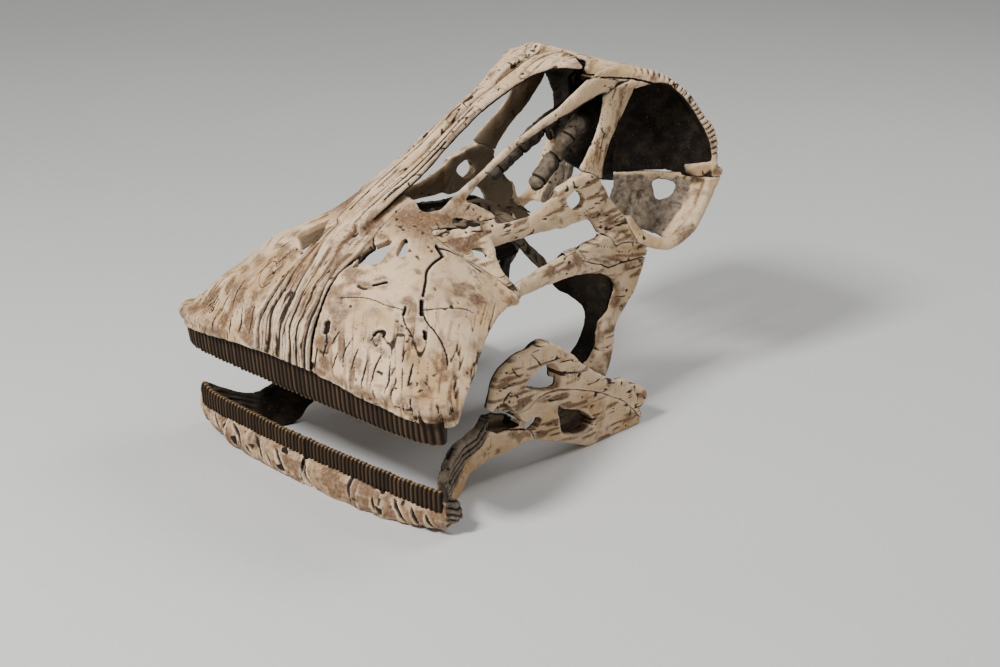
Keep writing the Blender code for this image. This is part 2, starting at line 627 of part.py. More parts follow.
def cranium_half():
    """The left half of the cranium's outer bones, in one piece."""
    made = solids(CRANIUM_STRUTS, CRANIUM_SLABS)
    made.append(sheet("snout", SNOUT, SNOUT_THICK))
    made.append(sheet("roof", ROOF, ROOF_THICK))
    made.append(sheet("orbit_wall", ORBIT_WALL, WALL_THICK, inward=(-0.6, 0.75, 0)))
    made.append(sheet("flange", QUADRATE_FLANGE, WALL_THICK, inward=(0, 1, 0)))
    half = clay("cranium_half", made, CRANIUM_TRIANGLES)
    for name, (direction, outline) in CRANIUM_OPENINGS.items():
        boolean(half, prism(name, outline, lambda *p: p, direction, OPENING_REACH))
    boolean(half, half_space("far_side", *FAR_SIDE))
    return half


def jaw_half():
    """The left half of the lower jaw, in one piece."""
    made = solids(JAW_STRUTS, JAW_SLABS)
    made.append(slab("side_wall", JAW_THICK, JAW_PLAN, JAW_OUTLINE, by_height=False))
    half = clay("jaw_half", made, JAW_TRIANGLES)
    for name, (direction, outline) in JAW_OPENINGS.items():
        boolean(half, prism(name, outline, lambda *p: p, direction, OPENING_REACH))
    for name, (depth, outline) in JAW_HOLLOWS.items():
        middle = depth + HOLLOW_DEPTH / 2
        boolean(half, prism(name, outline, lambda y, z, x=middle: (x, y, z), (1, 0, 0), HOLLOW_DEPTH / 2))
    boolean(half, half_space("far_side", *FAR_SIDE))
    boolean(half, half_space("below_floor", *BELOW_FLOOR))
    return half


def cut_apart(half, sutures, bones):
    for name, (direction, reach, line) in sutures.items():
        boolean(half, blade(name, direction, reach, line))
    return parted(half, bones)


def add_teeth(pieces):
    """Grows the tooth batteries out of the bones that hold them."""
    upper, lower, split = 2 * UPPER_RIBS, 2 * LOWER_RIBS, PREMAXILLA_TEETH
    rows = {
        "premaxilla": (UPPER_HALF, UPPER_RIBS, (0, split), UPPER_TIP, UPPER_ROOT, upper_front, UPPER_LEAN),
        "maxilla": (UPPER_HALF, UPPER_RIBS, (split, upper), UPPER_TIP, UPPER_ROOT, upper_front, UPPER_LEAN),
        "dentary": (LOWER_HALF, LOWER_RIBS, (0, lower), LOWER_TIP, LOWER_ROOT, lower_front, LOWER_LEAN),
    }
    for bone, row in rows.items():
        boolean(pieces[bone], tooth_row(bone + "_teeth", *row), "UNION")


def material(name, colour):
    made = bpy.data.materials.new(name)
    made.use_nodes = True
    shader = made.node_tree.nodes["Principled BSDF"]
    shader.inputs["Base Color"].default_value = (*colour, 1)
    shader.inputs["Roughness"].default_value = 0.65
    return made


def mirrored(obj, name):
    """The same bone on the animal's right."""
    mesh = obj.data.copy()
    mesh.transform(Matrix.Scale(-1, 4, (1, 0, 0)))
    mesh.flip_normals()
    copy = bpy.data.objects.new(name, mesh)
    bpy.context.scene.collection.objects.link(copy)
    return copy


def both_sides(made):
    """The solids and their mirror images, for a bone that crosses the midline."""
    return made + [mirrored(obj, obj.name + "_far") for obj in made]


def evened(obj):
    """Makes an object's right side the mirror image of its left side."""
    sides = obj.modifiers.new("sides", "MIRROR")
    sides.use_bisect_axis[0] = True
    sides.use_bisect_flip_axis[0] = False
    sides.merge_threshold = 0.0001
    return bake(obj)


def left_bones():
    """Every bone of the left side, by name, and the braincase, which is one bone across both sides."""
    braincase = evened(clay("braincase", both_sides(solids(BRAINCASE_STRUTS)), BRAINCASE_TRIANGLES))
    palate = clay("palate", solids(PALATE_STRUTS), PALATE_TRIANGLES)
    boolean(palate, half_space("far_side", *FAR_SIDE))
    boolean(palate, grown(braincase, SUTURE))
    cranium = cranium_half()
    boolean(cranium, grown(braincase, SUTURE))
    boolean(cranium, grown(palate, SUTURE))
    bones = cut_apart(cranium, CRANIUM_SUTURES, CRANIUM_BONES)
    bones.update(cut_apart(jaw_half(), JAW_SUTURES, JAW_BONES))
    add_teeth(bones)
    bones["palate"] = palate
    return bones, braincase


def clear_scene():
    """Removes whatever the scene holds."""
    for obj in list(bpy.data.objects):
        bpy.data.objects.remove(obj)


def main():
    clear_scene()
    bones, braincase = left_bones()
    finished = {"braincase": braincase}
    for bone, obj in bones.items():
        finished[bone + "_left"] = obj
        finished[bone + "_right"] = mirrored(obj, bone + "_right")
    skull = bpy.data.collections.new(NAME)
    bpy.context.scene.collection.children.link(skull)
    shades = {name: material(name, colour) for name, colour in COLOURS.items()}
    for name, obj in finished.items():
        obj.name = name
        bpy.context.scene.collection.objects.unlink(obj)
        skull.objects.link(obj)
        inner = name.removesuffix("_left").removesuffix("_right") in INNER_BONES
        obj.data.materials.clear()
        obj.data.materials.append(shades["inner" if inner else "bone"])


main()
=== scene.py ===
"""Detailed skull of the sauropod Nigersaurus taqueti with its jaws open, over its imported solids.

X points to the animal's left, Y backwards and Z up, and the muzzle faces -Y. The tables give
places in millimetres from the lower tooth row, on the surface that the jaws rest on. Each bone is
sculpted in three steps: struts, sheets and slabs run together into one body, the body is parted
along its sutures, and each bone's surface is worked with grooves, pits, flutes and fissures.
"""

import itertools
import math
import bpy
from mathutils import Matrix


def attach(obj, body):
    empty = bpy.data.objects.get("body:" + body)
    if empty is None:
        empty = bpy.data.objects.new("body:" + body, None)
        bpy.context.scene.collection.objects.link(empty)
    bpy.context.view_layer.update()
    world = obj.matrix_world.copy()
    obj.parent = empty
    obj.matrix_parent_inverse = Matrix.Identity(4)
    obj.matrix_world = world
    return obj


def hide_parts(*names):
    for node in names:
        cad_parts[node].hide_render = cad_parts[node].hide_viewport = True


bl_info = {
    "name": "Nigersaurus skull",
    "version": (1, 0, 0),
    "blender": (4, 5, 0),
    "location": "View3D > Sidebar > Skull",
    "description": "Sculpts the bones and tooth batteries of an open-jawed sauropod skull",
    "category": "Object",
}

from contextlib import contextmanager
from functools import cache

import bmesh
import bpy
import numpy as np
from bpy.props import FloatProperty, FloatVectorProperty, PointerProperty
from bpy.types import Operator, Panel, PropertyGroup
from mathutils import Matrix, Vector
from mathutils.bvhtree import BVHTree

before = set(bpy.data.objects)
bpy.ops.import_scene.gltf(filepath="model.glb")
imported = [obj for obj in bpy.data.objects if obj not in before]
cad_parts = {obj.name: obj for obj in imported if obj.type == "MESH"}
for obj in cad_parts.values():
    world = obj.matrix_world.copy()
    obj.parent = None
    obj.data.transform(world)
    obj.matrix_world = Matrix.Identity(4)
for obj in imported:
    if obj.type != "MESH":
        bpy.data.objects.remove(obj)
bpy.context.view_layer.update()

MM = 0.001
MID_Y = 164.0  # from the lower tooth row back to the middle of the whole skull
SUTURE = 0.6  # width of the gap between two bones
MIDLINE = 0.25  # from the plane of symmetry to where each half starts
SNOUT_THICK = 6.0
ROOF_THICK = 6.0
WALL_THICK = 4.5
JAW_THICK = 8.0
CLAY_GRAIN = 1.4  # voxel in which the struts and sheets are united
CLAY_TRIANGLES = 26000
STRUT_SIDES = 20
STEPS = 7  # points of a strut or sheet from one station to the next

# The snout's outer surface, from its lower rim back to the jugal, each row from the middle.
SNOUT = [
    [(0, -24, 97), (30, -25, 97), (62, -25, 95), (92, -23, 92), (116, -18, 88), (131, -9, 85),
        (138, 5, 84)],
    [(0, -23, 121), (28, -22, 120), (57, -21, 116), (85, -18, 111), (109, -12, 107), (127, -1, 102),
        (134, 17, 99)],
    [(0, -12, 139), (25, -12, 137), (50, -10, 135), (75, -6, 132), (98, 1, 126), (116, 13, 115),
        (126, 33, 108)],
    [(0, 2, 156), (21, 3, 153), (43, 5, 152), (65, 10, 148), (86, 18, 141), (104, 31, 130),
        (116, 50, 117)],
    [(0, 22, 177), (20, 20, 163), (36, 22, 165), (55, 28, 163), (73, 37, 157), (90, 50, 145),
        (104, 73, 127)],
    [(0, 48, 189), (18, 44, 177), (30, 49, 176), (45, 57, 175), (60, 67, 164), (76, 81, 148),
        (93, 96, 129)],
    [(0, 76, 198), (17, 82, 193), (28, 80, 187), (40, 88, 187), (52, 98, 170), (68, 100, 150),
        (87, 112, 128)],
]
# The skull roof and the hood over the orbit, from front to back, each row from the middle.
ROOF = [
    [(0, 226, 276), (12, 229, 275), (24, 236, 271), (33, 244, 266), (40, 254, 260)],
    [(0, 244, 270), (15, 247, 269), (30, 253, 266), (43, 262, 263), (51, 272, 258)],
    [(0, 268, 261), (18, 271, 260), (36, 276, 259), (50, 283, 257), (63, 289, 254)],
    [(0, 294, 252), (20, 297, 251), (40, 301, 249), (58, 305, 247), (73.5, 307, 240)],
    [(0, 318, 239), (22, 320, 238), (44, 323, 236), (62, 325, 232), (77.5, 322, 220)],
    [(0, 334, 222), (22, 336, 221), (44, 337, 217), (62, 337, 212), (81, 333, 202)],
    [(0, 343, 203), (22, 344, 202), (44, 343, 198), (62, 342, 193), (83.5, 336, 186)],
    [(0, 344, 186), (22, 345, 185), (44, 343, 181), (62, 341, 178), (83.5, 335, 176)],
]
# The wall at the back of the orbit, from the hood down, each row from the braincase out.
ORBIT_WALL = [
    [(22, 280, 238), (36, 304, 238), (52, 318, 236), (64, 320, 226), (73, 318, 218)],
    [(22, 284, 205), (36, 306, 205), (52, 320, 204), (67, 329, 203), (82, 333, 202)],
    [(23, 286, 172), (36, 302, 172), (49, 314, 172), (64, 325, 172), (83, 333, 172)],
    [(24, 282, 150), (37, 297, 148), (50, 308, 147), (64, 314, 146), (80, 318, 146)],
    [(26, 274, 134), (40, 286, 130), (54, 295, 128), (66, 298, 126), (77, 299, 126)],
]
# The quadrate's inner flange, from the squamosal down, each row from the shaft inwards.
QUADRATE_FLANGE = [
    [(61, 255, 129), (50, 249, 129), (38, 239, 127), (28, 224, 123)],
    [(61, 254, 118), (48, 247, 117), (36, 234, 114), (25, 212, 109)],
    [(61, 252, 104), (50, 246, 102), (40, 234, 98), (31, 216, 96)],
    [(62, 247, 84), (55, 243, 82), (48, 238, 80), (42, 233, 78)],
    [(64, 238, 62), (59, 233, 61), (54, 227, 60), (49, 221, 60)],
    [(69, 224, 44), (64, 220, 46), (59, 214, 48), (53, 206, 52)],
]

# Struts: the direction of the depth, then x, y, z, width and depth at each station.
CRANIUM_STRUTS = {
    "tooth_rim": [(0, 0, 1), [(-4, -17, 105, 14, 14), (60, -18, 103, 14, 14),
        (100, -16, 100, 14, 13), (124, -10, 97, 14, 12), (132, 3, 96, 12, 12)]],
    "dorsal_bar": [(0, -0.5, 0.85), [(6.5, 36, 180, 14, 8), (7.5, 66, 195, 15, 8),
        (7.5, 88, 205, 15, 8), (7, 104, 213, 13, 8), (6, 120, 221.5, 11.5, 8),
        (6, 140, 233.5, 11.5, 8), (6.2, 160, 243.5, 11.5, 8), (7.5, 182, 253, 14, 8),
        (10, 204, 262, 21, 8), (15, 222, 266.5, 31, 8), (20, 238, 266, 42, 8)]],
    "ascending_process": [(1, 0, 0), [(40, 88, 182, 14, 7), (39, 98, 189, 10, 6.5),
        (38, 112, 196, 8.5, 5.5), (38, 127, 204, 6.5, 5), (38, 152, 216, 6.5, 5),
        (39, 180, 227, 7.5, 5), (41, 205, 236, 11, 5), (43.5, 226, 245.5, 17, 5),
        (45, 246, 252.5, 19, 5), (45.5, 258, 255, 12, 5)]],
    "brow": [(0.85, -0.5, 0), [(31, 239, 259, 14, 5), (41, 251, 252, 20, 5), (51, 268, 250, 16, 5),
        (61, 285, 250, 8, 5), (69, 297, 246, 5, 4)]],
    "lacrimal": [(1, 0, 0), [(45, 272, 255, 30, 7), (44, 263, 241, 33, 7), (45, 254, 225, 24, 7),
        (48, 243, 212, 20, 7), (52, 231, 199, 23, 7), (54.5, 222, 187, 30, 7)]],
    "jugal_bar": [(1, 0, 0.2), [(52, 88, 166, 20, 6), (56, 112, 166.5, 18, 6),
        (57.5, 132, 166, 16, 6), (58, 158, 166, 16, 6), (57.5, 180, 169, 24, 6),
        (57.5, 194, 173, 30, 6)]],
    "jugal_front": [(0.7, -0.3, 0.6), [(54, 92, 170, 26, 6), (60, 101, 161, 28, 6),
        (67, 102, 152, 20, 6), (76, 106, 142, 13, 6), (86, 113, 132, 13, 6)]],
    "light_plate": [(0.6, -0.4, 0.7), [(41, 92, 188, 14, 4), (47, 108, 184, 16, 4),
        (54, 124, 176, 8, 4)]],
    "quadratojugal_bar": [(1, 0.2, 0.3), [(88, 108, 130, 12, 6), (82, 120, 133, 12, 6),
        (77, 140, 132.5, 14, 6.5), (70, 170, 131.5, 17, 7), (65, 200, 129.5, 20, 7),
        (62, 225, 128, 26, 7)]],
    "orbit_ring": [(0.94, -0.32, 0.12), [(84, 334, 178, 14, 8), (83, 330, 165, 11, 8),
        (82, 322, 150, 10, 8), (79.5, 309, 133, 10, 8), (76, 292, 125, 10, 8),
        (70, 277, 128, 10, 8), (64, 265, 136, 12, 8), (60, 256, 148, 14, 7)]],
    "ring_end": [(-0.3, 0.9, 0.2), [(83.5, 335, 176, 14, 6), (76, 322, 176, 15, 6),
        (68, 312, 177, 10, 5)]],
    "condyle": [(0, 0.2, 1), [(75, 224, 40, 14, 10), (66, 219, 40, 17, 12), (54, 211, 45, 14, 10)]],
}
# Slabs: the thickness, how far out they stand at each height, and the outline (y, z).
CRANIUM_SLABS = {
    "jugal_plate": [7.0, [(150, 58), (190, 55)], [(184, 184), (196, 188), (208, 191), (222, 187),
        (233, 180), (242, 167), (252, 156), (260, 147), (254, 138), (243, 131), (232, 140),
        (219, 156), (200, 157), (184, 158)]],
    "quadrate_side": [9.0, [(36, 69.5), (56, 65), (76, 61.5), (150, 61)], [(205, 137), (222, 141),
        (236, 142), (250, 138), (266, 132), (281, 122), (278, 113), (273, 102), (268, 91),
        (257, 81), (247, 71), (243, 64), (239, 54), (234, 44), (227, 36), (217, 37), (216, 46),
        (223, 56), (227, 66), (232, 74), (243, 80), (250, 88), (247, 97), (240, 106), (228, 113),
        (210, 119)]],
}
# Openings: the direction in which each is cut, and its outline.
CRANIUM_OPENINGS = {
    "front_opening": [(0.1, -0.5, 0.85), [(26, 17, 160.5), (23.5, 25, 163.5), (24, 34, 169),
        (28, 42, 173), (32, 47, 175), (36, 40, 171), (40, 33, 168), (41, 26, 165), (34, 21, 164)]],
    "second_opening": [(0.1, -0.5, 0.85), [(38, 52, 176), (41, 53, 175), (47, 47, 171),
        (49.5, 40, 169), (46, 38, 169), (41, 45, 171)]],
    "jugal_hole": [(1, 0, 0), [(57, 193, 176), (57, 204, 181.5), (57, 213, 172), (57, 203, 166.5)]],
    "jugal_foramen": [(0.7, -0.3, 0.6), [(60.5, 95, 164), (61.5, 99, 165.5), (63.5, 103, 163.5),
        (66.5, 104.5, 159.5), (67, 102, 157), (66, 98, 157.5), (62.5, 95, 160)]],
    "slot_front": [(0, -0.5, 0.85), [(0, 121, 226), (1.8, 133, 232), (0, 147, 240),
        (-1.8, 133, 232)]],
    "slot_rear": [(0, -0.5, 0.85), [(0, 177, 252), (4, 198, 260), (0, 212, 266), (-4, 198, 260)]],
    "orbit_wall_hole": [(-0.6, 0.75, -0.2), [(46, 305, 163), (52, 310, 166), (60, 316, 163),
        (58, 314, 154), (49, 308, 150)]],
}
# Sutures: the direction and reach of a blade through the bone, and the line that it follows.
CRANIUM_SUTURES = {
    "premaxilla": [(0, -0.6, 0.8), 30, [(28.7, -44, 84), (28.7, -30, 99), (28.7, -22, 116),
        (26, -14, 134), (22, 1, 149), (20, 12, 158), (25, 30, 169)]],
    "premaxilla_rear": [(0, -0.5, 0.85), 13, [(32, 34, 166), (20, 40, 177), (17, 56, 186),
        (15.5, 74, 197), (15.5, 88, 203), (18, 104, 212)]],
    "nasal": [(0, -0.5, 0.85), 10, [(-6, 152, 239), (6, 154, 240), (18, 158, 242)]],
    "nasal_rear": [(0, -0.2, 0.98), 14, [(-8, 212, 268), (8, 218, 268), (18, 234, 268),
        (30, 238, 266), (48, 232, 262)]],
    "jugal_front": [(0.6, -0.35, 0.72), 18, [(60, 146, 187), (56, 130, 180), (53, 114, 177),
        (50, 96, 177), (44, 74, 178), (47, 73, 173), (57, 84, 160), (68, 97, 150), (79, 107, 139),
        (96, 122, 118)]],
    "ascending_end": [(1, 0, 0), 14, [(42, 216, 226), (42, 232, 234), (42, 246, 240.5),
        (42, 261, 248), (42, 280, 257)]],
    "lacrimal_top": [(1, 0, 0), 18, [(44, 212, 250), (44, 230, 256.5), (44, 246, 255),
        (44, 258, 253), (44, 270, 251), (44, 282, 247), (44, 300, 238)]],
    "lacrimal_foot": [(1, 0, 0), 12, [(54, 194, 186), (54, 208, 192.5), (54, 222, 190),
        (54, 238, 181), (54, 252, 180)]],
    "jugal_foot": [(1, 0, 0), 14, [(82, 119, 156), (82, 116, 144), (82, 115, 134), (82, 115, 118)]],
    "squamosal": [(1, 0, 0), 50, [(66, 194, 152), (66, 199, 140), (67, 203, 130), (64, 225, 122),
        (62, 235, 116.5), (61, 248, 117), (61, 262, 116), (60, 300, 113)]],
    "squamosal_top": [(1, 0, 0), 40, [(60, 212, 149), (60, 221, 146), (60, 230, 143),
        (60, 236, 139.5), (60, 243, 131.5), (60, 248, 133), (61, 262, 130), (63, 272, 126),
        (62, 282, 119), (60, 300, 108)]],
    "postorbital": [(1, 0, 0), 14, [(60, 246, 172), (60, 255, 153), (61, 258, 142), (62, 265, 131),
        (63, 269, 122)]],
    "hood": [(-0.6, 0.75, 0), 26, [(16, 262, 171), (24, 286, 171), (36, 302, 171), (49, 314, 171),
        (64, 325, 171), (98, 346, 171)]],
    "quadrate": [(0, 0.97, -0.22), 39, [(57, 244, 123.5), (57, 244, 76), (60, 236, 56),
        (64.5, 226, 24)]],
}
# A point in each bone of the left half of the cranium.
CRANIUM_BONES = {
    "premaxilla": (12, -20, 125),
    "nasal": (8, 182, 254),
    "frontal": (40, 306, 247),
    "maxilla": (80, 0, 128),
    "lacrimal": (46, 248, 218),
    "jugal": (58, 158, 166),
    "quadratojugal": (75, 150, 132),
    "squamosal": (61, 250, 128),
    "postorbital": (80, 312, 136),
    "quadrate": (52, 238, 90),
}

# The side wall of the lower jaw: how far out it stands at each place along it, and its outline.
JAW_PLAN = [(2, 127), (8, 121), (14, 114), (22, 105), (31, 97), (42, 91), (52, 87.5), (62, 85.5),
    (80, 85), (100, 86.5), (120, 88.5), (145, 91), (170, 94), (240, 95)]
JAW_OUTLINE = [(2, 36), (8, 34), (15, 31), (22, 28.5), (31, 28.5), (42, 35), (54, 38.5), (66, 40),
    (76, 43.5), (82, 50), (86, 60), (90, 74), (100, 84), (112, 89), (126, 91), (141, 91), (150, 86),
    (159, 79), (170, 69), (181, 60), (197, 49.5), (209, 43.5), (220, 41), (229, 32), (236, 16),
    (240, 4), (236, -2), (219, -3), (197, -3), (184, -2), (168, 5), (147, 13), (127, 20), (108, 19),
    (84, 16), (67, 12), (57, 2), (44, -2), (24, -2), (8, 2), (2, 12)]
JAW_STRUTS = {
    "chin": [(0, 0, 1), [(-5, -5, 10, 16, 25), (30, -4, 10, 16, 25), (73, -2, 10.5, 16, 24),
        (98, 2, 12, 16, 22), (113, 6, 13, 18, 21), (122, 11, 15, 19, 20), (128, 16, 19, 14, 16)]],
    "articular": [(0, 0, 1), [(94, 226, 22, 40, 24), (80, 230, 20, 38, 20), (70, 234, 18, 32, 16)]],
}
JAW_SLABS = {
    "inner_wall": [5.0, [(0, 83), (300, 83)], [(110, 58), (116, 80), (128, 89), (142, 91),
        (152, 82), (156, 60)]],
}
JAW_OPENINGS = {
    "upper_window": [(1, 0, 0), [(88, 118, 64), (89, 125, 71), (90, 134, 75), (91, 143, 75),
        (92, 150, 66), (92, 150, 57), (91, 143, 55), (90, 130, 58)]],
    "small_window": [(1, 0, 0), [(88, 118, 33), (89, 124, 38), (90, 133, 35), (90, 130, 30),
        (89, 124, 28)]],
}
# Hollows in the jaw's outer face, sunk to this distance from the plane of symmetry.
JAW_HOLLOWS = {
    "lower_window": [91.5, [(148, 42), (154, 37), (173, 30), (182, 21), (176, 14), (163, 14),
        (152, 19)]],
    "front_hollow": [84.0, [(84, 42), (89, 55), (100, 56), (107, 48), (113, 42), (110, 36),
        (101, 38), (90, 40)]],
}
JAW_SUTURES = {
    "surangular": [(1, 0, 0), 40, [(85, 84, 56), (86, 92, 50), (87, 104, 46), (88, 120, 46),
        (89, 129, 52), (92, 150, 53), (94, 180, 44), (95, 218, 24), (95, 239, 4), (95, 250, -8)]],
    "dentary": [(1, 0, 0), 16, [(85, 68, 60), (85, 84, 50), (86, 93, 50), (87, 102, 47),
        (88, 110, 42), (88, 121, 33), (90, 131, 10)]],
}
JAW_BONES = {
    "dentary": (60, -3, 12),
    "surangular": (94, 165, 62),
    "angular": (95, 200, 15),
}

# The braincase and what grows from it, and the palate, as struts.
BRAINCASE_STRUTS = {
    "block": [(0, 0, 1), [(0, 262, 214, 34, 44), (0, 282, 202, 46, 66), (0, 310, 196, 50, 82),
        (0, 334, 192, 50, 78), (0, 342, 190, 40, 60)]],
    "condyle": [(0, 0, 1), [(0, 334, 168, 24, 22), (0, 346, 164, 22, 20), (0, 351, 162, 14, 12)]],
    "paroccipital": [(0, 1, 0.3), [(10, 334, 190, 26, 10), (40, 334, 176, 20, 8),
        (66, 326, 158, 18, 7)]],
    "basipterygoid": [(0.6, 0.6, 0.5), [(10, 268, 214, 18, 18), (13, 250, 210, 14, 14),
        (17, 229, 197, 13, 13), (20, 212, 186, 14, 14), (23, 198, 178, 11, 11)]],
}
PALATE_STRUTS = {
    "pterygoid": [(0.3, -0.2, 0.9), [(22, 216, 108, 26, 5), (20, 200, 124, 26, 5),
        (20, 184, 140, 28, 6), (22, 168, 154, 34, 8), (26, 150, 162, 34, 8), (30, 128, 164, 24, 6),
        (30, 108, 166, 14, 5)]],
    "vomer": [(1, 0, 0), [(6, 190, 150, 14, 5), (7, 160, 168, 12, 5), (8, 130, 172, 9, 5),
        (9, 104, 176, 6, 5)]],
    "bridge": [(0, 0, 1), [(6, 170, 160, 12, 6), (18, 172, 158, 16, 6), (28, 172, 154, 16, 6)]],
}
INNER_BONES = {"quadrate", "braincase", "palate"}
SIDES = ((1, "left"), (-1, "right"))
# Boxes that are cut away, as two corners.
FAR_SIDE = [(-60, -80, -50), (MIDLINE, 420, 320)]
BELOW_FLOOR = [(-200, -80, -60), (200, 420, 0)]
OPENING_REACH = 16  # how far an opening is cut, both ways
HOLLOW_REACH = 20
JOIN_ROUNDS = 4  # rounds of smoothing where struts and sheets join
SKIN_ROUNDS = 2  # rounds of smoothing on the finished skin
EVEN_ROUNDS = 12  # rounds of averaging that tell a hollow from a rise
HOLLOW_DEPTH = 0.35  # a hollow of this many millimetres gets the full painted shade


# Curves and solids


def spline(points, per_span, closed=False):
    """Points along a Catmull-Rom curve through the given ones."""
    pts = np.array(points, dtype=float)
    count = len(pts)
    if closed:
        pts = np.concatenate([pts[-1:], pts, pts[:2]])
        spans = count
    else:
        pts = np.concatenate([[2 * pts[0] - pts[1]], pts, [2 * pts[-1] - pts[-2]]])
        spans = count - 1
    out = []
    for span in range(spans):
        a, b, c, d = pts[span : span + 4]
        for t in np.arange(per_span) / per_span:
            out.append(0.5 * (2 * b + (c - a) * t + (2 * a - 5 * b + 4 * c - d) * t**2
                              + (3 * b - a - 3 * c + d) * t**3))
    if not closed:
        out.append(pts[-2])
    return np.array(out)


def unit(vector):
    """A vector of the same direction and of length 1."""
    vector = np.array(vector, dtype=float)
    return vector / np.linalg.norm(vector)


def linked(name, mesh):
    """A new object for a mesh, in the scene."""
    obj = bpy.data.objects.new(name, mesh)
    bpy.context.scene.collection.objects.link(obj)
    return obj


def new_object(name, bm):
    """An object about the skull's middle, from a bmesh in millimetres from the tooth row."""
    bmesh.ops.recalc_face_normals(bm, faces=bm.faces[:])
    if bm.calc_volume(signed=True) < 0:
        bmesh.ops.reverse_faces(bm, faces=bm.faces[:])
    for vert in bm.verts:
        vert.co = (vert.co - Vector((0, MID_Y, 0))) * MM
    mesh = bpy.data.meshes.new(name)
    bm.to_mesh(mesh)
    bm.free()
    return linked(name, mesh)


@contextmanager
def reworked(obj):
    """An object's mesh as a bmesh, which is put back at the end."""
    bm = bmesh.new()
    bm.from_mesh(obj.data)
    yield bm
    bm.to_mesh(obj.data)
    bm.free()


def thickened(obj, thickness, offset):
    """Gives a sheet of faces its thickness, in millimetres."""
    solid = obj.modifiers.new("thickness", "SOLIDIFY")
    solid.thickness = thickness * MM
    solid.offset = offset
    solid.use_even_offset = offset != 0
    return bake(obj)


def loft(name, rings):
    """A closed solid through rings of equally many points, with flat ends."""
    bm = bmesh.new()
    rows = [[bm.verts.new(point) for point in ring] for ring in rings]
    count = len(rows[0])
    for row, after in zip(rows, rows[1:]):
        for i in range(count):
            j = (i + 1) % count
            bm.faces.new((row[i], row[j], after[j], after[i]))
    bm.faces.new(rows[0][::-1])
    bm.faces.new(rows[-1])
    return new_object(name, bm)


def strut(name, flat, stations):
    """A bar of elliptical section along a curve. flat is the direction of the section's depth."""
    data = spline(stations, STEPS)
    centres = data[:, :3]
    tangents = np.gradient(centres, axis=0)
    turns = [2 * math.pi * i / STRUT_SIDES for i in range(STRUT_SIDES)]
    ring = [(math.cos(turn), math.sin(turn)) for turn in turns]
    rings = []
    for centre, tangent, (width, depth) in zip(centres, tangents, data[:, 3:]):
        across = unit(np.cross(flat, tangent))
        normal = unit(np.cross(tangent, across))
        rings.append([centre + across * width / 2 * u + normal * depth / 2 * v for u, v in ring])
    return loft(name, rings)


def sheet(name, rows, thickness, inward=(0, 0.7, -0.7)):
    """A curved plate whose outer face runs through rows of points."""
    along = np.array([spline(row, STEPS) for row in rows])
    grid = np.array([spline(along[:, i], STEPS) for i in range(along.shape[1])])
    bm = bmesh.new()
    verts = [[bm.verts.new(point) for point in line] for line in grid]
    for line, after in zip(verts, verts[1:]):
        for i in range(len(line) - 1):
            bm.faces.new((line[i], line[i + 1], after[i + 1], after[i]))
    obj = new_object(name, bm)
    with reworked(obj) as bm:
        bm.normal_update()
        if sum((face.normal for face in bm.faces), Vector()).dot(Vector(inward)) > 0:
            bmesh.ops.reverse_faces(bm, faces=bm.faces[:])
    return thickened(obj, thickness, -1)


def at(table, key):
    """The value that a table of (key, value) pairs gives at a key, straight between its entries."""
    keys, values = zip(*table)
    return np.interp(key, keys, values)


def prism(name, outline, place, direction, reach):
    """A closed outline of (y, z) or (x, y, z) points, swept both ways along a direction."""
    points = np.array([place(*point) for point in spline(outline, 6, closed=True)])
    ahead = unit(direction)
    side = unit(np.cross(ahead, (0, 0, 1) if abs(ahead[2]) < 0.8 else (0, 1, 0)))
    rise = np.cross(ahead, side)
    flat = np.stack([points @ side, points @ rise], axis=1)
    curve = bpy.data.curves.new(name, "CURVE")
    curve.dimensions = "2D"
    curve.fill_mode = "BOTH"
    curve.extrude = reach
    line = curve.splines.new("POLY")
    line.points.add(len(flat) - 1)
    for point, (u, v) in zip(line.points, flat):
        point.co = (u, v, 0, 1)
    line.use_cyclic_u = True
    shape = linked(name, curve)
    graph = bpy.context.evaluated_depsgraph_get()
    mesh = bpy.data.meshes.new_from_object(shape.evaluated_get(graph))
    bpy.data.objects.remove(shape)
    bm = bmesh.new()
    bm.from_mesh(mesh)
    bmesh.ops.remove_doubles(bm, verts=bm.verts[:], dist=0.001)
    depth = points @ ahead
    for vert in bm.verts:
        u, v, w = vert.co
        nearest = np.argmin((flat[:, 0] - u) ** 2 + (flat[:, 1] - v) ** 2)
        vert.co = side * u + rise * v + ahead * (w + depth[nearest])
    return new_object(name, bm)


def slab(name, thickness, table, outline, by_height=True):
    """A flat bone seen from the side, bent to stand as far from the midline as the table says."""
    obj = prism(name, outline, lambda y, z: (0, y, z), (1, 0, 0), thickness / 2)
    axis, offset = (2, 0) if by_height else (1, MID_Y)
    smooth = spline(table, 4)
    with reworked(obj) as bm:
        for key in smooth[:, 0]:
            place, normal = Vector(), Vector()
            place[axis], normal[axis] = (key - offset) * MM, 1
            geom = bm.verts[:] + bm.edges[:] + bm.faces[:]
            bmesh.ops.bisect_plane(bm, geom=geom, plane_co=place, plane_no=normal)
        for vert in bm.verts:
            vert.co.x += float(at(smooth.tolist(), vert.co[axis] / MM + offset)) * MM
    return obj


def blade(name, direction, reach, line):
    """A thin curved blade through a line of points, as wide as a suture."""
    points = spline(line, 2)
    swing = unit(direction) * reach
    bm = bmesh.new()
    near = [bm.verts.new(point - swing) for point in points]
    far = [bm.verts.new(point + swing) for point in points]
    for i in range(len(points) - 1):
        bm.faces.new((near[i], near[i + 1], far[i + 1], far[i]))
    return thickened(new_object(name, bm), SUTURE, 0)


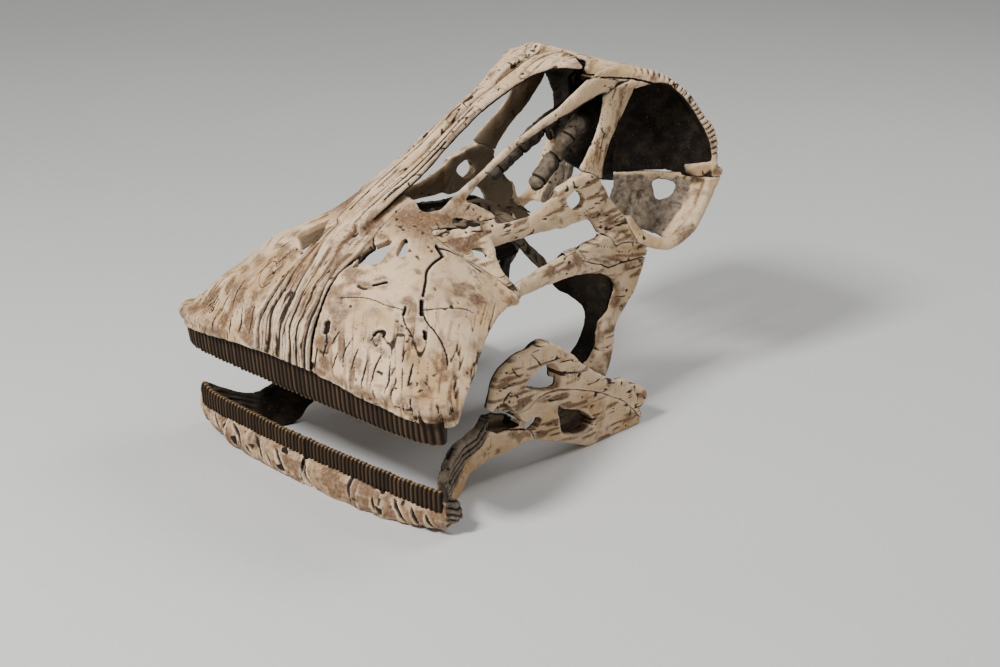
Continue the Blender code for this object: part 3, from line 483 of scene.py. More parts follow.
def box(name, low, high):
    """A box between two corners, in millimetres from the tooth row."""
    bm = bmesh.new()
    bmesh.ops.create_cube(bm, size=1)
    low, high = Vector(low), Vector(high)
    for vert in bm.verts:
        vert.co = Vector(low[i] + (vert.co[i] + 0.5) * (high[i] - low[i]) for i in range(3))
    return new_object(name, bm)


# Work on whole objects


def bake(obj):
    """Makes an object's modifiers part of its mesh."""
    graph = bpy.context.evaluated_depsgraph_get()
    mesh = bpy.data.meshes.new_from_object(obj.evaluated_get(graph))
    obj.modifiers.clear()
    old, obj.data = obj.data, mesh
    bpy.data.meshes.remove(old)
    return obj


def remove(objects):
    """Deletes objects with their meshes."""
    for obj in objects:
        bpy.data.meshes.remove(obj.data)


def cut(obj, other):
    """Cuts the other solid from the object."""
    modifier = obj.modifiers.new("cut", "BOOLEAN")
    modifier.solver = "MANIFOLD"
    modifier.object = other
    bake(obj)
    remove([other])
    order_edges(obj)


def order_edges(obj):
    """Puts the edges of a mesh in the order of their points, so that results never vary."""
    with reworked(obj) as bm:
        rank = len(bm.verts)
        bm.edges.sort(key=lambda edge: rank * min(v.index for v in edge.verts)
                      + max(v.index for v in edge.verts))


def rows_of(items, name, width, kind=float):
    """A property of many points or edges, as rows of numbers."""
    values = np.empty(len(items) * width, dtype=kind)
    items.foreach_get(name, values)
    return values.reshape(-1, width)


def averaged(mesh, places, rounds):
    """A place for each point of a mesh, drawn towards those of its neighbours a few times over."""
    pairs = np.sort(rows_of(mesh.edges, "vertices", 2, int), axis=1)
    first, second = pairs[np.lexsort((pairs[:, 1], pairs[:, 0]))].T
    count = len(places)
    links = np.bincount(first, minlength=count) + np.bincount(second, minlength=count)
    share = 1.0 / np.maximum(links, 1)
    for _ in range(rounds):
        around = [np.bincount(first, line[second], count) + np.bincount(second, line[first], count)
                  for line in places.T]
        places = 0.5 * (places + np.stack(around, axis=1) * share[:, None])
    return places


def remesh(obj, voxel, rounds):
    """Turns an object into an even skin of voxels of the given size, and smooths it."""
    modifier = obj.modifiers.new("skin", "REMESH")
    modifier.mode = "VOXEL"
    modifier.voxel_size = voxel * MM
    bake(obj)
    places = averaged(obj.data, rows_of(obj.data.vertices, "co", 3), rounds)
    obj.data.vertices.foreach_set("co", places.ravel())
    obj.data.update()


def clay(name, made):
    """One solid from many that run into each other, with its joins smoothed over."""
    bm = bmesh.new()
    for obj in made:
        bm.from_mesh(obj.data)
    mesh = bpy.data.meshes.new(name)
    bm.to_mesh(mesh)
    bm.free()
    obj = linked(name, mesh)
    remove(made)
    remesh(obj, CLAY_GRAIN, JOIN_ROUNDS)
    order_edges(obj)
    keep_largest(obj)
    thin = obj.modifiers.new("thin_out", "DECIMATE")
    thin.ratio = min(1.0, CLAY_TRIANGLES / (2 * len(obj.data.polygons)))
    return bake(obj)


def islands(bm):
    """The separate bodies of a bmesh, as lists of faces."""
    bm.faces.ensure_lookup_table()
    seen, found = set(), []
    for start in bm.faces:
        if start.index in seen:
            continue
        seen.add(start.index)
        body, stack = [], [start]
        while stack:
            face = stack.pop()
            body.append(face)
            for edge in face.edges:
                for other in edge.link_faces:
                    if other.index not in seen:
                        seen.add(other.index)
                        stack.append(other)
        found.append(body)
    return found


def keep_largest(obj):
    """Drops the crumbs that are left beside a solid."""
    with reworked(obj) as bm:
        bodies = sorted(islands(bm), key=len)
        crumbs = [face for body in bodies[:-1] for face in body]
        bmesh.ops.delete(bm, geom=crumbs, context="FACES")


def parted(obj, bones):
    """Splits an object into bones, each the largest body that lies nearest to the bone's point."""
    bm = bmesh.new()
    bm.from_mesh(obj.data)
    found = {}
    for body in sorted(islands(bm), key=len, reverse=True):
        body.sort(key=lambda face: face.index)
        verts = dict.fromkeys(vert for face in body for vert in face.verts)
        order = {vert: i for i, vert in enumerate(verts)}
        points = [tuple(vert.co) for vert in verts]
        faces = [[order[vert] for vert in face.verts] for face in body]
        surface = BVHTree.FromPolygons(points, faces)
        places = {bone: Vector((x, y - MID_Y, z)) * MM for bone, (x, y, z) in bones.items()}
        near = {bone: surface.find_nearest(place)[3] for bone, place in places.items()}
        bone = min(near, key=near.get)
        if bone not in found:
            mesh = bpy.data.meshes.new(bone)
            mesh.from_pydata(points, [], faces)
            found[bone] = linked(bone, mesh)
    bm.free()
    remove([obj])
    missing = set(bones) - set(found)
    if missing:
        raise RuntimeError("bones not parted: " + ", ".join(sorted(missing)))
    return found


def solids(struts, slabs):
    """The struts and slabs of two tables, as objects."""
    made = [strut(name, *shape) for name, shape in struts.items()]
    return made + [slab(name, *shape) for name, shape in slabs.items()]


def parted_half(name, made, openings, hollows, away, sutures, bones):
    """One half of a jaw, from solids that are run together, opened and parted into plain bones."""
    half = clay(name, made)
    for opening, (direction, outline) in openings.items():
        cut(half, prism(opening, outline, lambda *p: p, direction, OPENING_REACH))
    for hollow, (depth, outline) in hollows.items():
        middle = depth + HOLLOW_REACH
        cut(half, prism(hollow, outline, lambda y, z: (middle, y, z), (1, 0, 0), HOLLOW_REACH))
    for corners in away:
        cut(half, box("away", *corners))
    for suture, (direction, reach, line) in sutures.items():
        cut(half, blade(suture, direction, reach, line))
    return parted(half, bones)


def cranium_bones():
    """The left outer bones of the cranium, still plain."""
    made = solids(CRANIUM_STRUTS, CRANIUM_SLABS)
    made.append(sheet("snout", SNOUT, SNOUT_THICK))
    made.append(sheet("roof", ROOF, ROOF_THICK))
    made.append(sheet("orbit_wall", ORBIT_WALL, WALL_THICK, inward=(-0.6, 0.75, 0)))
    made.append(sheet("flange", QUADRATE_FLANGE, WALL_THICK, inward=(0, 1, 0)))
    return parted_half("cranium_half", made, CRANIUM_OPENINGS, {}, [FAR_SIDE],
                       CRANIUM_SUTURES, CRANIUM_BONES)


def jaw_bones():
    """The left bones of the lower jaw, still plain."""
    made = solids(JAW_STRUTS, JAW_SLABS)
    made.append(slab("side_wall", JAW_THICK, JAW_PLAN, JAW_OUTLINE, by_height=False))
    return parted_half("jaw_half", made, JAW_OPENINGS, JAW_HOLLOWS, [FAR_SIDE, BELOW_FLOOR],
                       JAW_SUTURES, JAW_BONES)


# Surface work, in millimetres from the tooth row

HASH_PRIMES = (73856093, 19349663, 83492791, 26544357, 1274126177)


def grain(points, size, seed):
    """Smooth random values from 0 to 1, which change over a size, or over one for each axis."""
    cells = points / np.array(size, dtype=float) + 37.7 * seed
    base = np.floor(cells).astype(np.int64)
    part = cells - base
    part = part * part * (3 - 2 * part)
    total = np.zeros(len(points))
    for corner in itertools.product((0, 1), repeat=3):
        index = base + np.array(corner)
        code = seed * HASH_PRIMES[3]
        for axis in range(3):
            code = code ^ index[:, axis] * HASH_PRIMES[axis]
        code = ((code ^ (code >> 13)) * HASH_PRIMES[4]) & 0x7FFFFFFF
        value = ((code ^ (code >> 11)) & 0xFFFF) / 65535
        total += value * np.prod(np.where(corner, part, 1 - part), axis=1)
    return total


def rough(points, size, seed, octaves=3):
    """Random values about 0, from several grains of halving size."""
    size = np.array(size, dtype=float)
    return sum((grain(points, size / 2**i, seed + i) - 0.5) * 0.6**i for i in range(octaves))


def step(low, high, value):
    """0 below low, 1 above high, and smooth between; low may be the larger."""
    t = np.clip((value - low) / (high - low), 0, 1)
    return t * t * (3 - 2 * t)


def wave(turns):
    """A wave from 0 to 1 that starts at its crest."""
    return 0.5 + 0.5 * np.cos(2 * math.pi * turns)


def line_distance(points, line):
    """How far each point is from a line of points, how far along it, and the line's length."""
    line = np.array(line, dtype=float)
    best = np.full(len(points), np.inf)
    along = np.zeros(len(points))
    run = 0.0
    for a, b in zip(line, line[1:]):
        ahead = b - a
        length = np.linalg.norm(ahead)
        t = np.clip((points - a) @ ahead / length**2, 0, 1)
        gap = np.linalg.norm(points - a - t[:, None] * ahead, axis=1)
        nearer = gap < best
        best[nearer] = gap[nearer]
        along[nearer] = run + t[nearer] * length
        run += length
    return best, along, run


def store(mesh, **layers):
    """Keeps values with the points of a mesh, for its material."""
    for layer, values in layers.items():
        values = np.array(values, dtype=float)
        mesh.attributes.new(layer, "FLOAT", "POINT").data.foreach_set("value", values)


class Skin:
    """The points of one bone while its surface is worked."""

    def __init__(self, mesh, side):
        self.mesh = mesh
        self.side = side
        self.points = rows_of(mesh.vertices, "co", 3) / MM + np.array((0, MID_Y, 0))
        self.normals = rows_of(mesh.vertex_normals, "vector", 3)
        # The layers move the points, darken cracks, pits, grooves and gaps (partly their own
        # colour, partly painted shade), paint shade on inner faces, and give grey and tinted bone,
        # the tint with some painted shade.
        layers = np.zeros((5, len(self.points)))
        self.rise, self.stain, self.inner, self.grey, self.tint = layers

    def more(self, **layers):
        """Raises layers of the skin to the given values, where they are lower."""
        for layer, values in layers.items():
            setattr(self, layer, np.maximum(getattr(self, layer), values))

    def lifted(self, where, axes, line):
        """The places on the skin of a line that is drawn in a plane and seen from outside."""
        sight = 3 - sum(axes)
        toward = (self.side, -1, 1)[sight]
        flat = self.points[where][:, axes]
        nearness = self.points[where][:, sight] * toward
        places = []
        for place in line:
            gap = np.abs(flat - np.array(place)).max(axis=1)
            close = gap < 2.5
            if close.any():
                close &= nearness > nearness[close].max() - 4.0
                point = np.empty(3)
                point[axes] = place
                point[sight] = toward * nearness[close][np.argmin(gap[close])]
                places.append(point)
        return np.array(places)

    def carve(self, where, axes, width, depth, line, fade=True, stain=1.0):
        """Sinks a groove along a line in space, or drawn in a plane, where the mask lets it."""
        line = np.array(spline(line, 4) if len(line) > 2 else np.linspace(*line, 5))
        if axes:
            line = self.lifted(where, axes, line)
        else:
            nearest = [np.argmin(np.linalg.norm(self.points - place, axis=1)) for place in line]
            line = self.points[nearest]
            line[1:-1] = 0.25 * line[:-2] + 0.5 * line[1:-1] + 0.25 * line[2:]
        if len(line) < 2:
            return
        reach = 3 * width
        near = where & np.all(self.points > line.min(0) - reach, axis=1)
        near &= np.all(self.points < line.max(0) + reach, axis=1)
        wobble = 0.3 * width * rough(self.points[near], 4.0, 5)[:, None]
        gap, along, length = line_distance(self.points[near] + wobble, line)
        ends = 1.0
        if fade:
            ends = 0.35 + 0.65 * np.sin(np.pi * np.clip(along / length, 0.02, 0.98)) ** 0.5
        fall = step(1.25 * width * ends, 0.35 * width * ends, gap) * ends
        self.rise[near] = np.minimum(self.rise[near], -depth * fall)
        self.stain[near] = np.maximum(self.stain[near], stain * fall)

    def brush(self, where, axes, patches, seed):
        """Brown patches with soft ragged edges, each a place in a plane or in space, half its
        width, half its height and its strength."""
        ragged = 0.5 * rough(self.points, 7.0, seed, 3)
        for place, wide, high, strength in patches:
            centre = np.array([place])
            if len(place) == 2:
                centre = self.lifted(where > 0.5, axes, [place])
            if len(centre):
                sizes = np.full(3, 0.6 * (wide + high))
                sizes[axes] = wide, high
                near = np.linalg.norm((self.points - centre[0]) / sizes, axis=1)
                self.more(tint=where * strength * step(1.2, 0.1, near + ragged))

    def finish(self, name, node, slot, material):
        """Moves the points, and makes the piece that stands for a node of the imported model."""
        points = self.points + self.normals * self.rise[:, None]
        points[:, 2] = np.maximum(points[:, 2], 0.02)
        # How far each point lies below its smoothed neighbours: the material paints shade into the
        # hollows with it and pales the rises as wear.
        even = averaged(self.mesh, points, EVEN_ROUNDS)
        hollow = np.einsum("ij,ij->i", even - points, self.normals)
        self.mesh.vertices.foreach_set("co", ((points - np.array((0, MID_Y, 0))) * MM).ravel())
        store(self.mesh, hollow=hollow / HOLLOW_DEPTH, stain=self.stain, inner=self.inner,
              grey=self.grey, tint=self.tint)
        self.mesh.update()
        self.mesh.shade_smooth()
        self.mesh.materials.clear()
        self.mesh.materials.append(material)
        piece = linked(name, self.mesh)
        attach(piece, "root")
        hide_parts(node)


def side_mesh(obj, side):
    """A copy of a left solid's mesh, for the animal's left (1) or, mirrored, its right (-1)."""
    mesh = obj.data.copy()
    if side < 0:
        mesh.transform(Matrix.Scale(-1, 4, (1, 0, 0)))
        mesh.flip_normals()
    return mesh


# Where each bone's outer face looks: away from a point, or along a direction.
OUTWARD = {
    "premaxilla": ("along", (0, -0.5, 0.85)),
    "nasal": ("along", (0, -0.5, 0.85)),
    "maxilla": ("from", (0, 120, 60)),
    "frontal": ("from", (0, 235, 150)),
    "lacrimal": ("along", (1, -0.3, 0.1)),
    "jugal": ("along", (1, -0.25, 0.3)),
    "quadratojugal": ("along", (1, 0, 0.2)),
    "squamosal": ("along", (1, 0, 0.2)),
    "postorbital": ("along", (0.94, -0.32, 0.12)),
    "quadrate": ("along", (1, -0.2, 0)),
    "dentary": ("from", (0, 110, 20)),
    "surangular": ("along", (1, 0, 0)),
    "angular": ("along", (1, 0, 0)),
    "palate": ("along", (0.5, -0.6, 0.6)),
    "braincase": ("along", (0, -0.4, 0.9)),
}
# Bones whose inner faces get as much painted shade on the animal's right as on its left.
HIDDEN_BONES = {"frontal", "dentary", "palate", "braincase", "quadrate"}
SEEDS = {bone: 11 * place + 3 for place, bone in enumerate(OUTWARD)}

# Named holes and cracks in the left maxilla's face: width, depth and places.
MAXILLA_HOLES = {
    "great_foramen": (2.9, 4.2, [(35, -15, 132), (36, -17, 128)]),
    "upper_slit": (1.3, 3.4, [(56, 19, 157.5), (51, 14, 155.5)]),
    "arched_foramen": (1.3, 3.2, [(72, -6, 131), (73, -4, 133.5), (77, -2, 134), (78, -4, 132)]),
    "outer_foramen": (1.7, 3.6, [(95, 17, 134), (98, 15, 131)]),
    "middle_slit": (1.1, 2.6, [(77, 17, 146), (79, 13, 143)]),
    "rear_slit": (1.5, 3.2, [(81, 28, 148), (86, 23, 142)]),
    "crack_end": (2.0, 3.2, [(54, 69, 170), (59, 69, 165)]),
}
MAXILLA_CRACKS = {
    "cheek_crack": (1.0, 2.2, [(54, 69, 170), (59, 69, 165), (62, 58, 164), (67, 46, 161),
        (74, 38, 156), (79, 31, 151)]),
    "jugal_crack": (0.9, 1.8, [(54, 69, 170), (58, 78, 165), (63, 86, 159), (70, 94, 150)]),
    "slit_tail": (0.5, 1.2, [(79, 13, 143), (83, 10, 140), (88, 9, 135), (93, 8, 132)]),
    "long_scar": (0.7, 1.4, [(84, 25, 145), (91, 22, 139), (99, 23, 133), (109, 22, 124),
        (116, 18, 117)]),
    "cross_crack": (0.4, 0.9, [(35, -2, 146), (52, 5, 149), (65, 9, 147), (78, 15, 145)]),
    "rear_cross_crack": (0.4, 0.9, [(86, 26, 144), (90, 36, 143), (95, 54, 140), (98, 60, 137)]),
    "arch_tail": (0.6, 1.2, [(72, -6, 131), (71, -9, 125), (69, -12, 119)]),
    "below_great": (0.8, 1.2, [(38, -18, 126), (41, -20, 119), (40, -21, 112)]),
}
# Short dark streaks in the maxillae, seen from the front (x, z).
MAXILLA_STREAKS = [
    [(59, 128), (57, 119), (59, 110)], [(66, 123), (66, 110)], [(84, 125), (83, 114), (85, 105)],
    [(95, 129), (98, 120)], [(91, 120), (95, 111), (98, 103)], [(103, 124), (106, 115), (109, 107)],
    [(108, 122), (118, 111), (126, 103)], [(116, 118), (123, 110), (129, 103)],
    [(76, 118), (77, 108), (79, 101)], [(111, 112), (117, 103), (121, 97)], [(52, 118), (50, 107)],
    [(47, 130), (45, 121)], [(88, 104), (90, 97)], [(120, 116), (129, 106)],
    [(99, 112), (104, 101)],
]
RIGHT_STREAKS = [
    [(-32, 160), (-36, 152)], [(-30, 152), (-38, 143)], [(-60, 136), (-62, 127), (-60, 119)],
    [(-78, 137), (-90, 130)], [(-45, 150), (-50, 141)], [(-48, 122), (-46, 112), (-48, 104)],
    [(-70, 124), (-72, 112)], [(-84, 120), (-86, 108)], [(-96, 120), (-101, 108)],
    [(-36, 128), (-35, 116), (-37, 106)], [(-58, 112), (-57, 101)], [(-76, 108), (-77, 99)],
    [(-106, 112), (-112, 102)], [(-66, 146), (-74, 139)], [(-40, 165), (-46, 158)],
    [(-117, 105), (-123, 97)],
]
# Brown patches on the maxillae: a place seen from the front or in space, half the width, half the
# height, and the strength.
MAXILLA_PATCHES = [
    ((39, 121), 10, 15, 1.0), ((43, 109), 11, 9, 0.85), ((54, 157), 9, 6, 0.7),
    ((90, 72, 141), 9, 8, 0.95), ((84, 90, 136), 6, 6, 0.5), ((118, 101), 15, 8, 0.6),
    ((62, 143), 12, 6, 0.4), ((74, 130), 7, 6, 0.7), ((98, 131), 6, 6, 0.7),
    ((60, 100), 24, 6, 0.6), ((92, 94), 22, 6, 0.6), ((47, 147), 9, 4, 0.5),
    ((103, 121), 12, 8, 0.4), ((112, 45, 120), 10, 12, 0.55), ((69, 163), 9, 5, 0.4),
    ((94, 45, 138), 10, 7, 0.4), ((122, 30, 108), 8, 9, 0.6), ((66, 118), 10, 9, 0.35),
    ((84, 112), 9, 8, 0.35),
]
RIGHT_PATCHES = [
    ((-37, 118), 7, 17, 1.0), ((-56, 127), 6, 16, 0.8), ((-75, 128), 6, 14, 0.75),
    ((-92, 117), 6, 12, 0.7), ((-40, 105), 16, 8, 0.8), ((-107, 105), 14, 7, 0.7),
    ((-34, 156), 7, 6, 0.7), ((-60, 147), 14, 6, 0.6), ((-80, 103), 16, 6, 0.6),
    ((-45, 166), 9, 5, 0.6), ((-120, 97), 10, 7, 0.8), ((-70, 140), 12, 5, 0.6),
]
ROUND_SCAR = [(-34, 150), (-41, 152), (-47, 147), (-45, 140), (-38, 137), (-32, 141)]
# Grooves between the dorsal bars and in the fossa, seen from above (x, y).
BAR_GROOVES = [[(6.5, 44), (8, 80), (7, 120), (6, 160)], [(11, 60), (12, 90), (10, 120)]]
# Slots in the front of the lower jaw, seen from the front (x, z).
JAW_SLOTS = [
    (2.0, 2.8, [(97, 2), (94, 9), (88, 19)]), (1.6, 2.4, [(109, 2), (106, 8), (103, 17)]),
    (1.6, 2.2, [(119, 3), (117, 8), (115, 15)]), (2.2, 1.6, [(49, 8), (47, 16), (48, 23)]),
    (2.4, 2.2, [(-44, 6), (-48, 13), (-55, 20)]), (2.0, 2.0, [(-69, 8), (-73, 15), (-82, 20)]),
    (2.2, 2.4, [(-18, 4), (-24, 11), (-29, 18)]), (1.6, 1.8, [(-98, 6), (-103, 13), (-108, 19)]),
    (1.8, 1.8, [(-58, 4), (-63, 10)]), (1.6, 1.4, [(72, 6), (70, 15)]),
    (1.8, 2.0, [(-34, 4), (-38, 11)]),
]
SYMPHYSIS = (2.6, 6.0, [(0, 26), (1, 18), (4, 9), (9, 0)])
# Cracks, holes and hollows in the side of the lower jaw, seen from the side (y, z).
JAW_CRACKS = [
    (0.6, 1.2, [(168, 62), (158, 64), (150, 66), (143, 67)]),
    (0.6, 1.2, [(122, 87), (127, 82), (132, 76)]), (1.2, 2.2, [(169, 61), (166, 59)]),
    (0.9, 2.2, [(99, 48), (97, 55), (99, 60), (104, 64)]),
    (0.5, 1.0, [(104, 82), (108, 76), (113, 72)]), (0.5, 1.0, [(90, 66), (98, 68), (108, 70)]),
    (0.7, 1.4, [(92, 38), (104, 35), (118, 31), (128, 28)]),
]
# The upper edge of the ribbon at the corner of the lower jaw, seen from the side (y, z).
RIBBON_LINE = [(4, 34), (30, 27), (54, 37), (70, 41), (80, 50), (90, 74)]
# The shaded cleft behind the ribbon, seen from the side (y, z).
JAW_CLEFT = [(80, 52), (89, 59), (99, 60), (107, 49), (112, 36), (92, 35), (80, 42)]
# The knobbed rim of the hood over the orbit.
RIM_LINE = [(40, 254, 260), (51, 272, 258), (63, 289, 254), (73.5, 307, 240), (77.5, 322, 220),
    (81, 333, 202), (83.5, 336, 186)]


def inside(places, outline):
    """1 where a place lies inside an outline."""
    u, v = places.T
    hits = np.zeros(len(places), dtype=int)
    for (a, b), (c, d) in zip(outline, outline[1:] + outline[:1]):
        spans = (b > v) != (d > v)
        hits += spans & (u < a + (v - b) * (c - a) / ((d - b) or 1))
    return (hits % 2).astype(float)


def outer_share(skin, bone):
    """1 where a point looks outward, 0 where it looks into the skull."""
    kind, vector = OUTWARD[bone]
    vector = np.array(vector, dtype=float) * ((skin.side if bone != "braincase" else 1), 1, 1)
    out = skin.points - vector if kind == "from" else np.broadcast_to(vector, skin.points.shape)
    out = out / np.linalg.norm(out, axis=1)[:, None]
    return step(-0.3, 0.1, np.einsum("ij,ij->i", skin.normals, out))


def weather(skin, bone):
    """The uneven, finely pitted surface that every bone has."""
    p = skin.points
    seed = SEEDS[bone] + (100 if skin.side < 0 else 0)
    outer = outer_share(skin, bone)
    browner = {"surangular": 0.4, "angular": 0.6, "quadratojugal": 1.1, "jugal": 0.9}.get(bone, 1.0)
    # Faces that look into the skull get painted shade, half as much on the animal's right unless
    # the bone is hidden.
    skin.inner = (1 - outer) * (1.0 if skin.side > 0 or bone in HIDDEN_BONES else 0.5)
    skin.rise += 0.9 * rough(p, 13, seed, 2) + 0.35 * rough(p, 4.5, seed + 5, 2)
    pits = step(0.74, 0.86, grain(p, 3.4, seed + 9)) * step(0.45, 0.7, grain(p, 22, seed + 12))
    skin.rise -= 0.7 * pits
    mottle = 0.6 * grain(p, 15, seed + 14) + 0.4 * grain(p, 5, seed + 15)
    skin.more(stain=0.6 * pits, tint=0.6 * browner * outer * step(0.52, 0.75, mottle))
    return outer


def fissures(skin, lengthwise, across, where, seed, depth, share):
    """Long thin cracks and brown streaks that run along a bone, from places along and across it."""
    flow = np.stack([across, lengthwise, np.zeros_like(across)], axis=1)
    waver = 0.22 * (grain(flow, (1.9, 9.0, 9), seed + 1) - 0.5)
    line = np.abs(grain(flow, (4.2, 30.0, 9), seed) - 0.5 + waver)
    patch = step(0.45, 0.62, grain(flow, (7.0, 15.0, 9), seed + 2))
    crack_and_shade = step(share, 0.0, line * 2) * patch * where
    skin.rise -= depth * crack_and_shade
    skin.more(stain=0.85 * crack_and_shade)
    skin.rise += 0.22 * where * rough(flow, (1.8, 16.0, 9), seed + 3, 2)
    streak = step(0.5, 0.72, grain(flow, (2.6, 15.0, 9), seed + 4))
    streak = streak * step(0.3, 0.6, grain(flow, (11.0, 24.0, 9), seed + 5))
    skin.more(tint=0.75 * streak * where)


def work_maxilla(skin, outer):
    p, side = skin.points, skin.side
    x, y, z = p.T
    seed = 200 + side
    snout = outer * step(96, 84, y)
    face = (outer > 0.5) & (y < 100)
    across = 0.8 * np.abs(x) + 0.55 * y + 0.1 * z
    along = 0.45 * y + 0.9 * z
    lower = step(150, 120, z)
    fissures(skin, along, across, snout * (0.3 + 0.7 * lower), seed, depth=0.8, share=0.11)
    fissures(skin, along, across * 1.8 + 50, snout * lower, seed + 7, depth=0.45, share=0.09)
    if side > 0:
        for width, depth, line in [*MAXILLA_HOLES.values(), *MAXILLA_CRACKS.values()]:
            skin.carve(face, None, width, depth, line, fade=False)
        streaks, patches = MAXILLA_STREAKS, MAXILLA_PATCHES
    else:
        skin.carve(face, [0, 2], 0.5, 0.7, ROUND_SCAR, fade=False, stain=0.6)
        # Less painted shade towards the front of the right maxilla's inner face.
        skin.inner *= step(60, 90, y)
        streaks, patches = RIGHT_STREAKS, RIGHT_PATCHES
    for place, line in enumerate(streaks):
        skin.carve(face, [0, 2], 0.6 + 0.1 * (place % 3), 1.1 + 0.2 * (place % 2), line)
    skin.brush(snout, [0, 2], patches, seed + 15)
    # The fossa is painted darker, partly its brown bone and partly painted shade in its hollow.
    fossa = step(200, 183, z) * step(40, 70, y) * step(60, 40, np.abs(x))
    skin.more(tint=outer * 0.75 * fossa)
    lip = face * step(12, 3, np.abs(z - (100 - 14 * (np.abs(x) / 138) ** 2)))
    skin.rise += lip * 0.8 * rough(p, 9, seed + 20, 2)
    skin.more(tint=lip * 0.7 * step(0.42, 0.62, grain(p, (16, 16, 9), seed + 23)))
    bars = outer * step(90, 110, y)
    fissures(skin, y, x * 1.3 + z * 0.5, bars, seed + 30, depth=0.4, share=0.08)


def work_premaxilla(skin, outer):
    x, y, z = skin.points.T
    half = at([(80, 28.7), (116, 28.7), (134, 26), (149, 22), (169, 21), (190, 15.5), (240, 12)], z)
    share = np.abs(x) / half
    flow = np.stack([share * 20, (y + z) / 5, 0 * x], axis=1)
    wander = 0.5 * rough(flow, 6.0, 31 + skin.side, 2)
    front = outer * step(75, 30, y)
    flutes = 3.4 if skin.side > 0 else 2.6
    ridges = wave(share * flutes + wander - 0.08)
    fine = wave(share * 9.5 + 2.3 * wander)
    finer = wave(share * 17 + 3.1 * wander)
    depth = 0.25 + 0.75 * step(170, 130, z)
    skin.rise += front * depth * (1.5 * ridges**0.6 + 0.6 * fine + 0.3 * finer - 1.5)
    deep = 0.95 * step(0.2, 0.0, ridges) + 0.45 * step(0.3, 0.0, fine)
    deep = deep + 0.25 * step(0.3, 0.0, finer)
    skin.more(stain=front * depth * np.minimum(deep, 1))
    browned = 0.35 + 0.5 * step(0.6, 0.2, ridges)
    skin.more(tint=front * browned * step(0.35, 0.6, grain(flow, 5.0, 37)))
    fissures(skin, (y + z) * 0.7, x * 1.6, outer, 333 + skin.side, depth=0.6, share=0.1)
    edge = front * step(0.86, 1.0, share) * step(185, 160, z)
    skin.rise -= 1.2 * edge
    skin.more(stain=0.7 * edge)
    near = outer > 0.5
    for line in BAR_GROOVES:
        line = [(skin.side * a, b) for a, b in line]
        skin.carve(near & (y > 40), [0, 1], 0.8, 1.4, line, fade=False, stain=0.9)


def work_nasal(skin, outer):
    x, y, _ = skin.points.T
    fissures(skin, y, x * 1.4, outer, 41, depth=0.4, share=0.08)


def work_frontal(skin, outer):
    p = skin.points
    x, y, z = p.T
    rim = [(skin.side * a, b, c) for a, b, c in RIM_LINE]
    gap, along, _ = line_distance(p, spline(rim, 6))
    beat = np.abs(np.sin(math.pi * along / 4.6 + 1.3 * rough(p, 9, 51, 1)))
    edge = step(6.5, 1.5, gap) * step(14, 34, along)
    skin.rise += edge * (1.7 * beat**0.6 - 1.0)
    skin.more(stain=edge * 0.9 * step(0.45, 0.1, beat))
    # The underside of the hood over the orbit gets painted shade, less along the knobbed rim.
    wall = (skin.normals[:, 1] < 0.1) * step(245, 240, z) * step(266, 272, y) * step(5, 8, gap)
    wall *= 1 - step(62, 66, np.abs(x)) * step(190, 184, z)
    skin.inner = np.maximum(skin.inner * (1 - 0.8 * edge), wall)
    fissures(skin, y - z, x, outer, 55, depth=0.4, share=0.08)


def work_postorbital(skin, outer):
    p = skin.points * (skin.side, 1, 1)
    ring = spline([station[:3] for station in CRANIUM_STRUTS["orbit_ring"][1]], 5)
    gap, along, _ = line_distance(p, ring)
    band = 7.0 + 7.0 * step(105, 70, along) + 2.5 * rough(p, 9, 60, 2)
    top = step(166, 170, p[:, 2] + 5 * rough(p, 8, 58, 3))
    wall = step(band, band + 2.5, gap) * (1 - top)
    skin.grey = wall
    skin.more(tint=0.5 * top * grain(p, 6, 59))
    skin.rise += wall * (1.5 * rough(p, 7, 61, 3))
    skin.rise -= wall * 0.9 * step(0.6, 0.75, grain(p, 4.0, 66))
    # Less painted shade on the postorbital, and none on its wall.
    skin.inner *= 0.3 * (1 - wall)
    skin.rise += (1 - wall) * outer * 0.5 * rough(p, 5, 71, 2)


def work_bar(bone, stretch):
    """The work on a plain bar of bone, whose grain runs along the given direction."""

    def work(skin, outer):
        lengthwise = skin.points @ unit(stretch)
        across = skin.points @ unit(np.cross(stretch, (skin.side, 0, 0)))
        fissures(skin, lengthwise, across * 1.3, outer, SEEDS[bone] + 7, depth=0.5, share=0.09)

    return work


def work_quadrate(skin, _):
    p = skin.points
    # Painted shade over all of the quadrate.
    skin.more(inner=0.72)
    skin.rise += 0.9 * rough(p, (12, 12, 24), 81, 3)
    skin.more(stain=0.5 * step(0.55, 0.75, grain(p, (7, 7, 18), 85)))


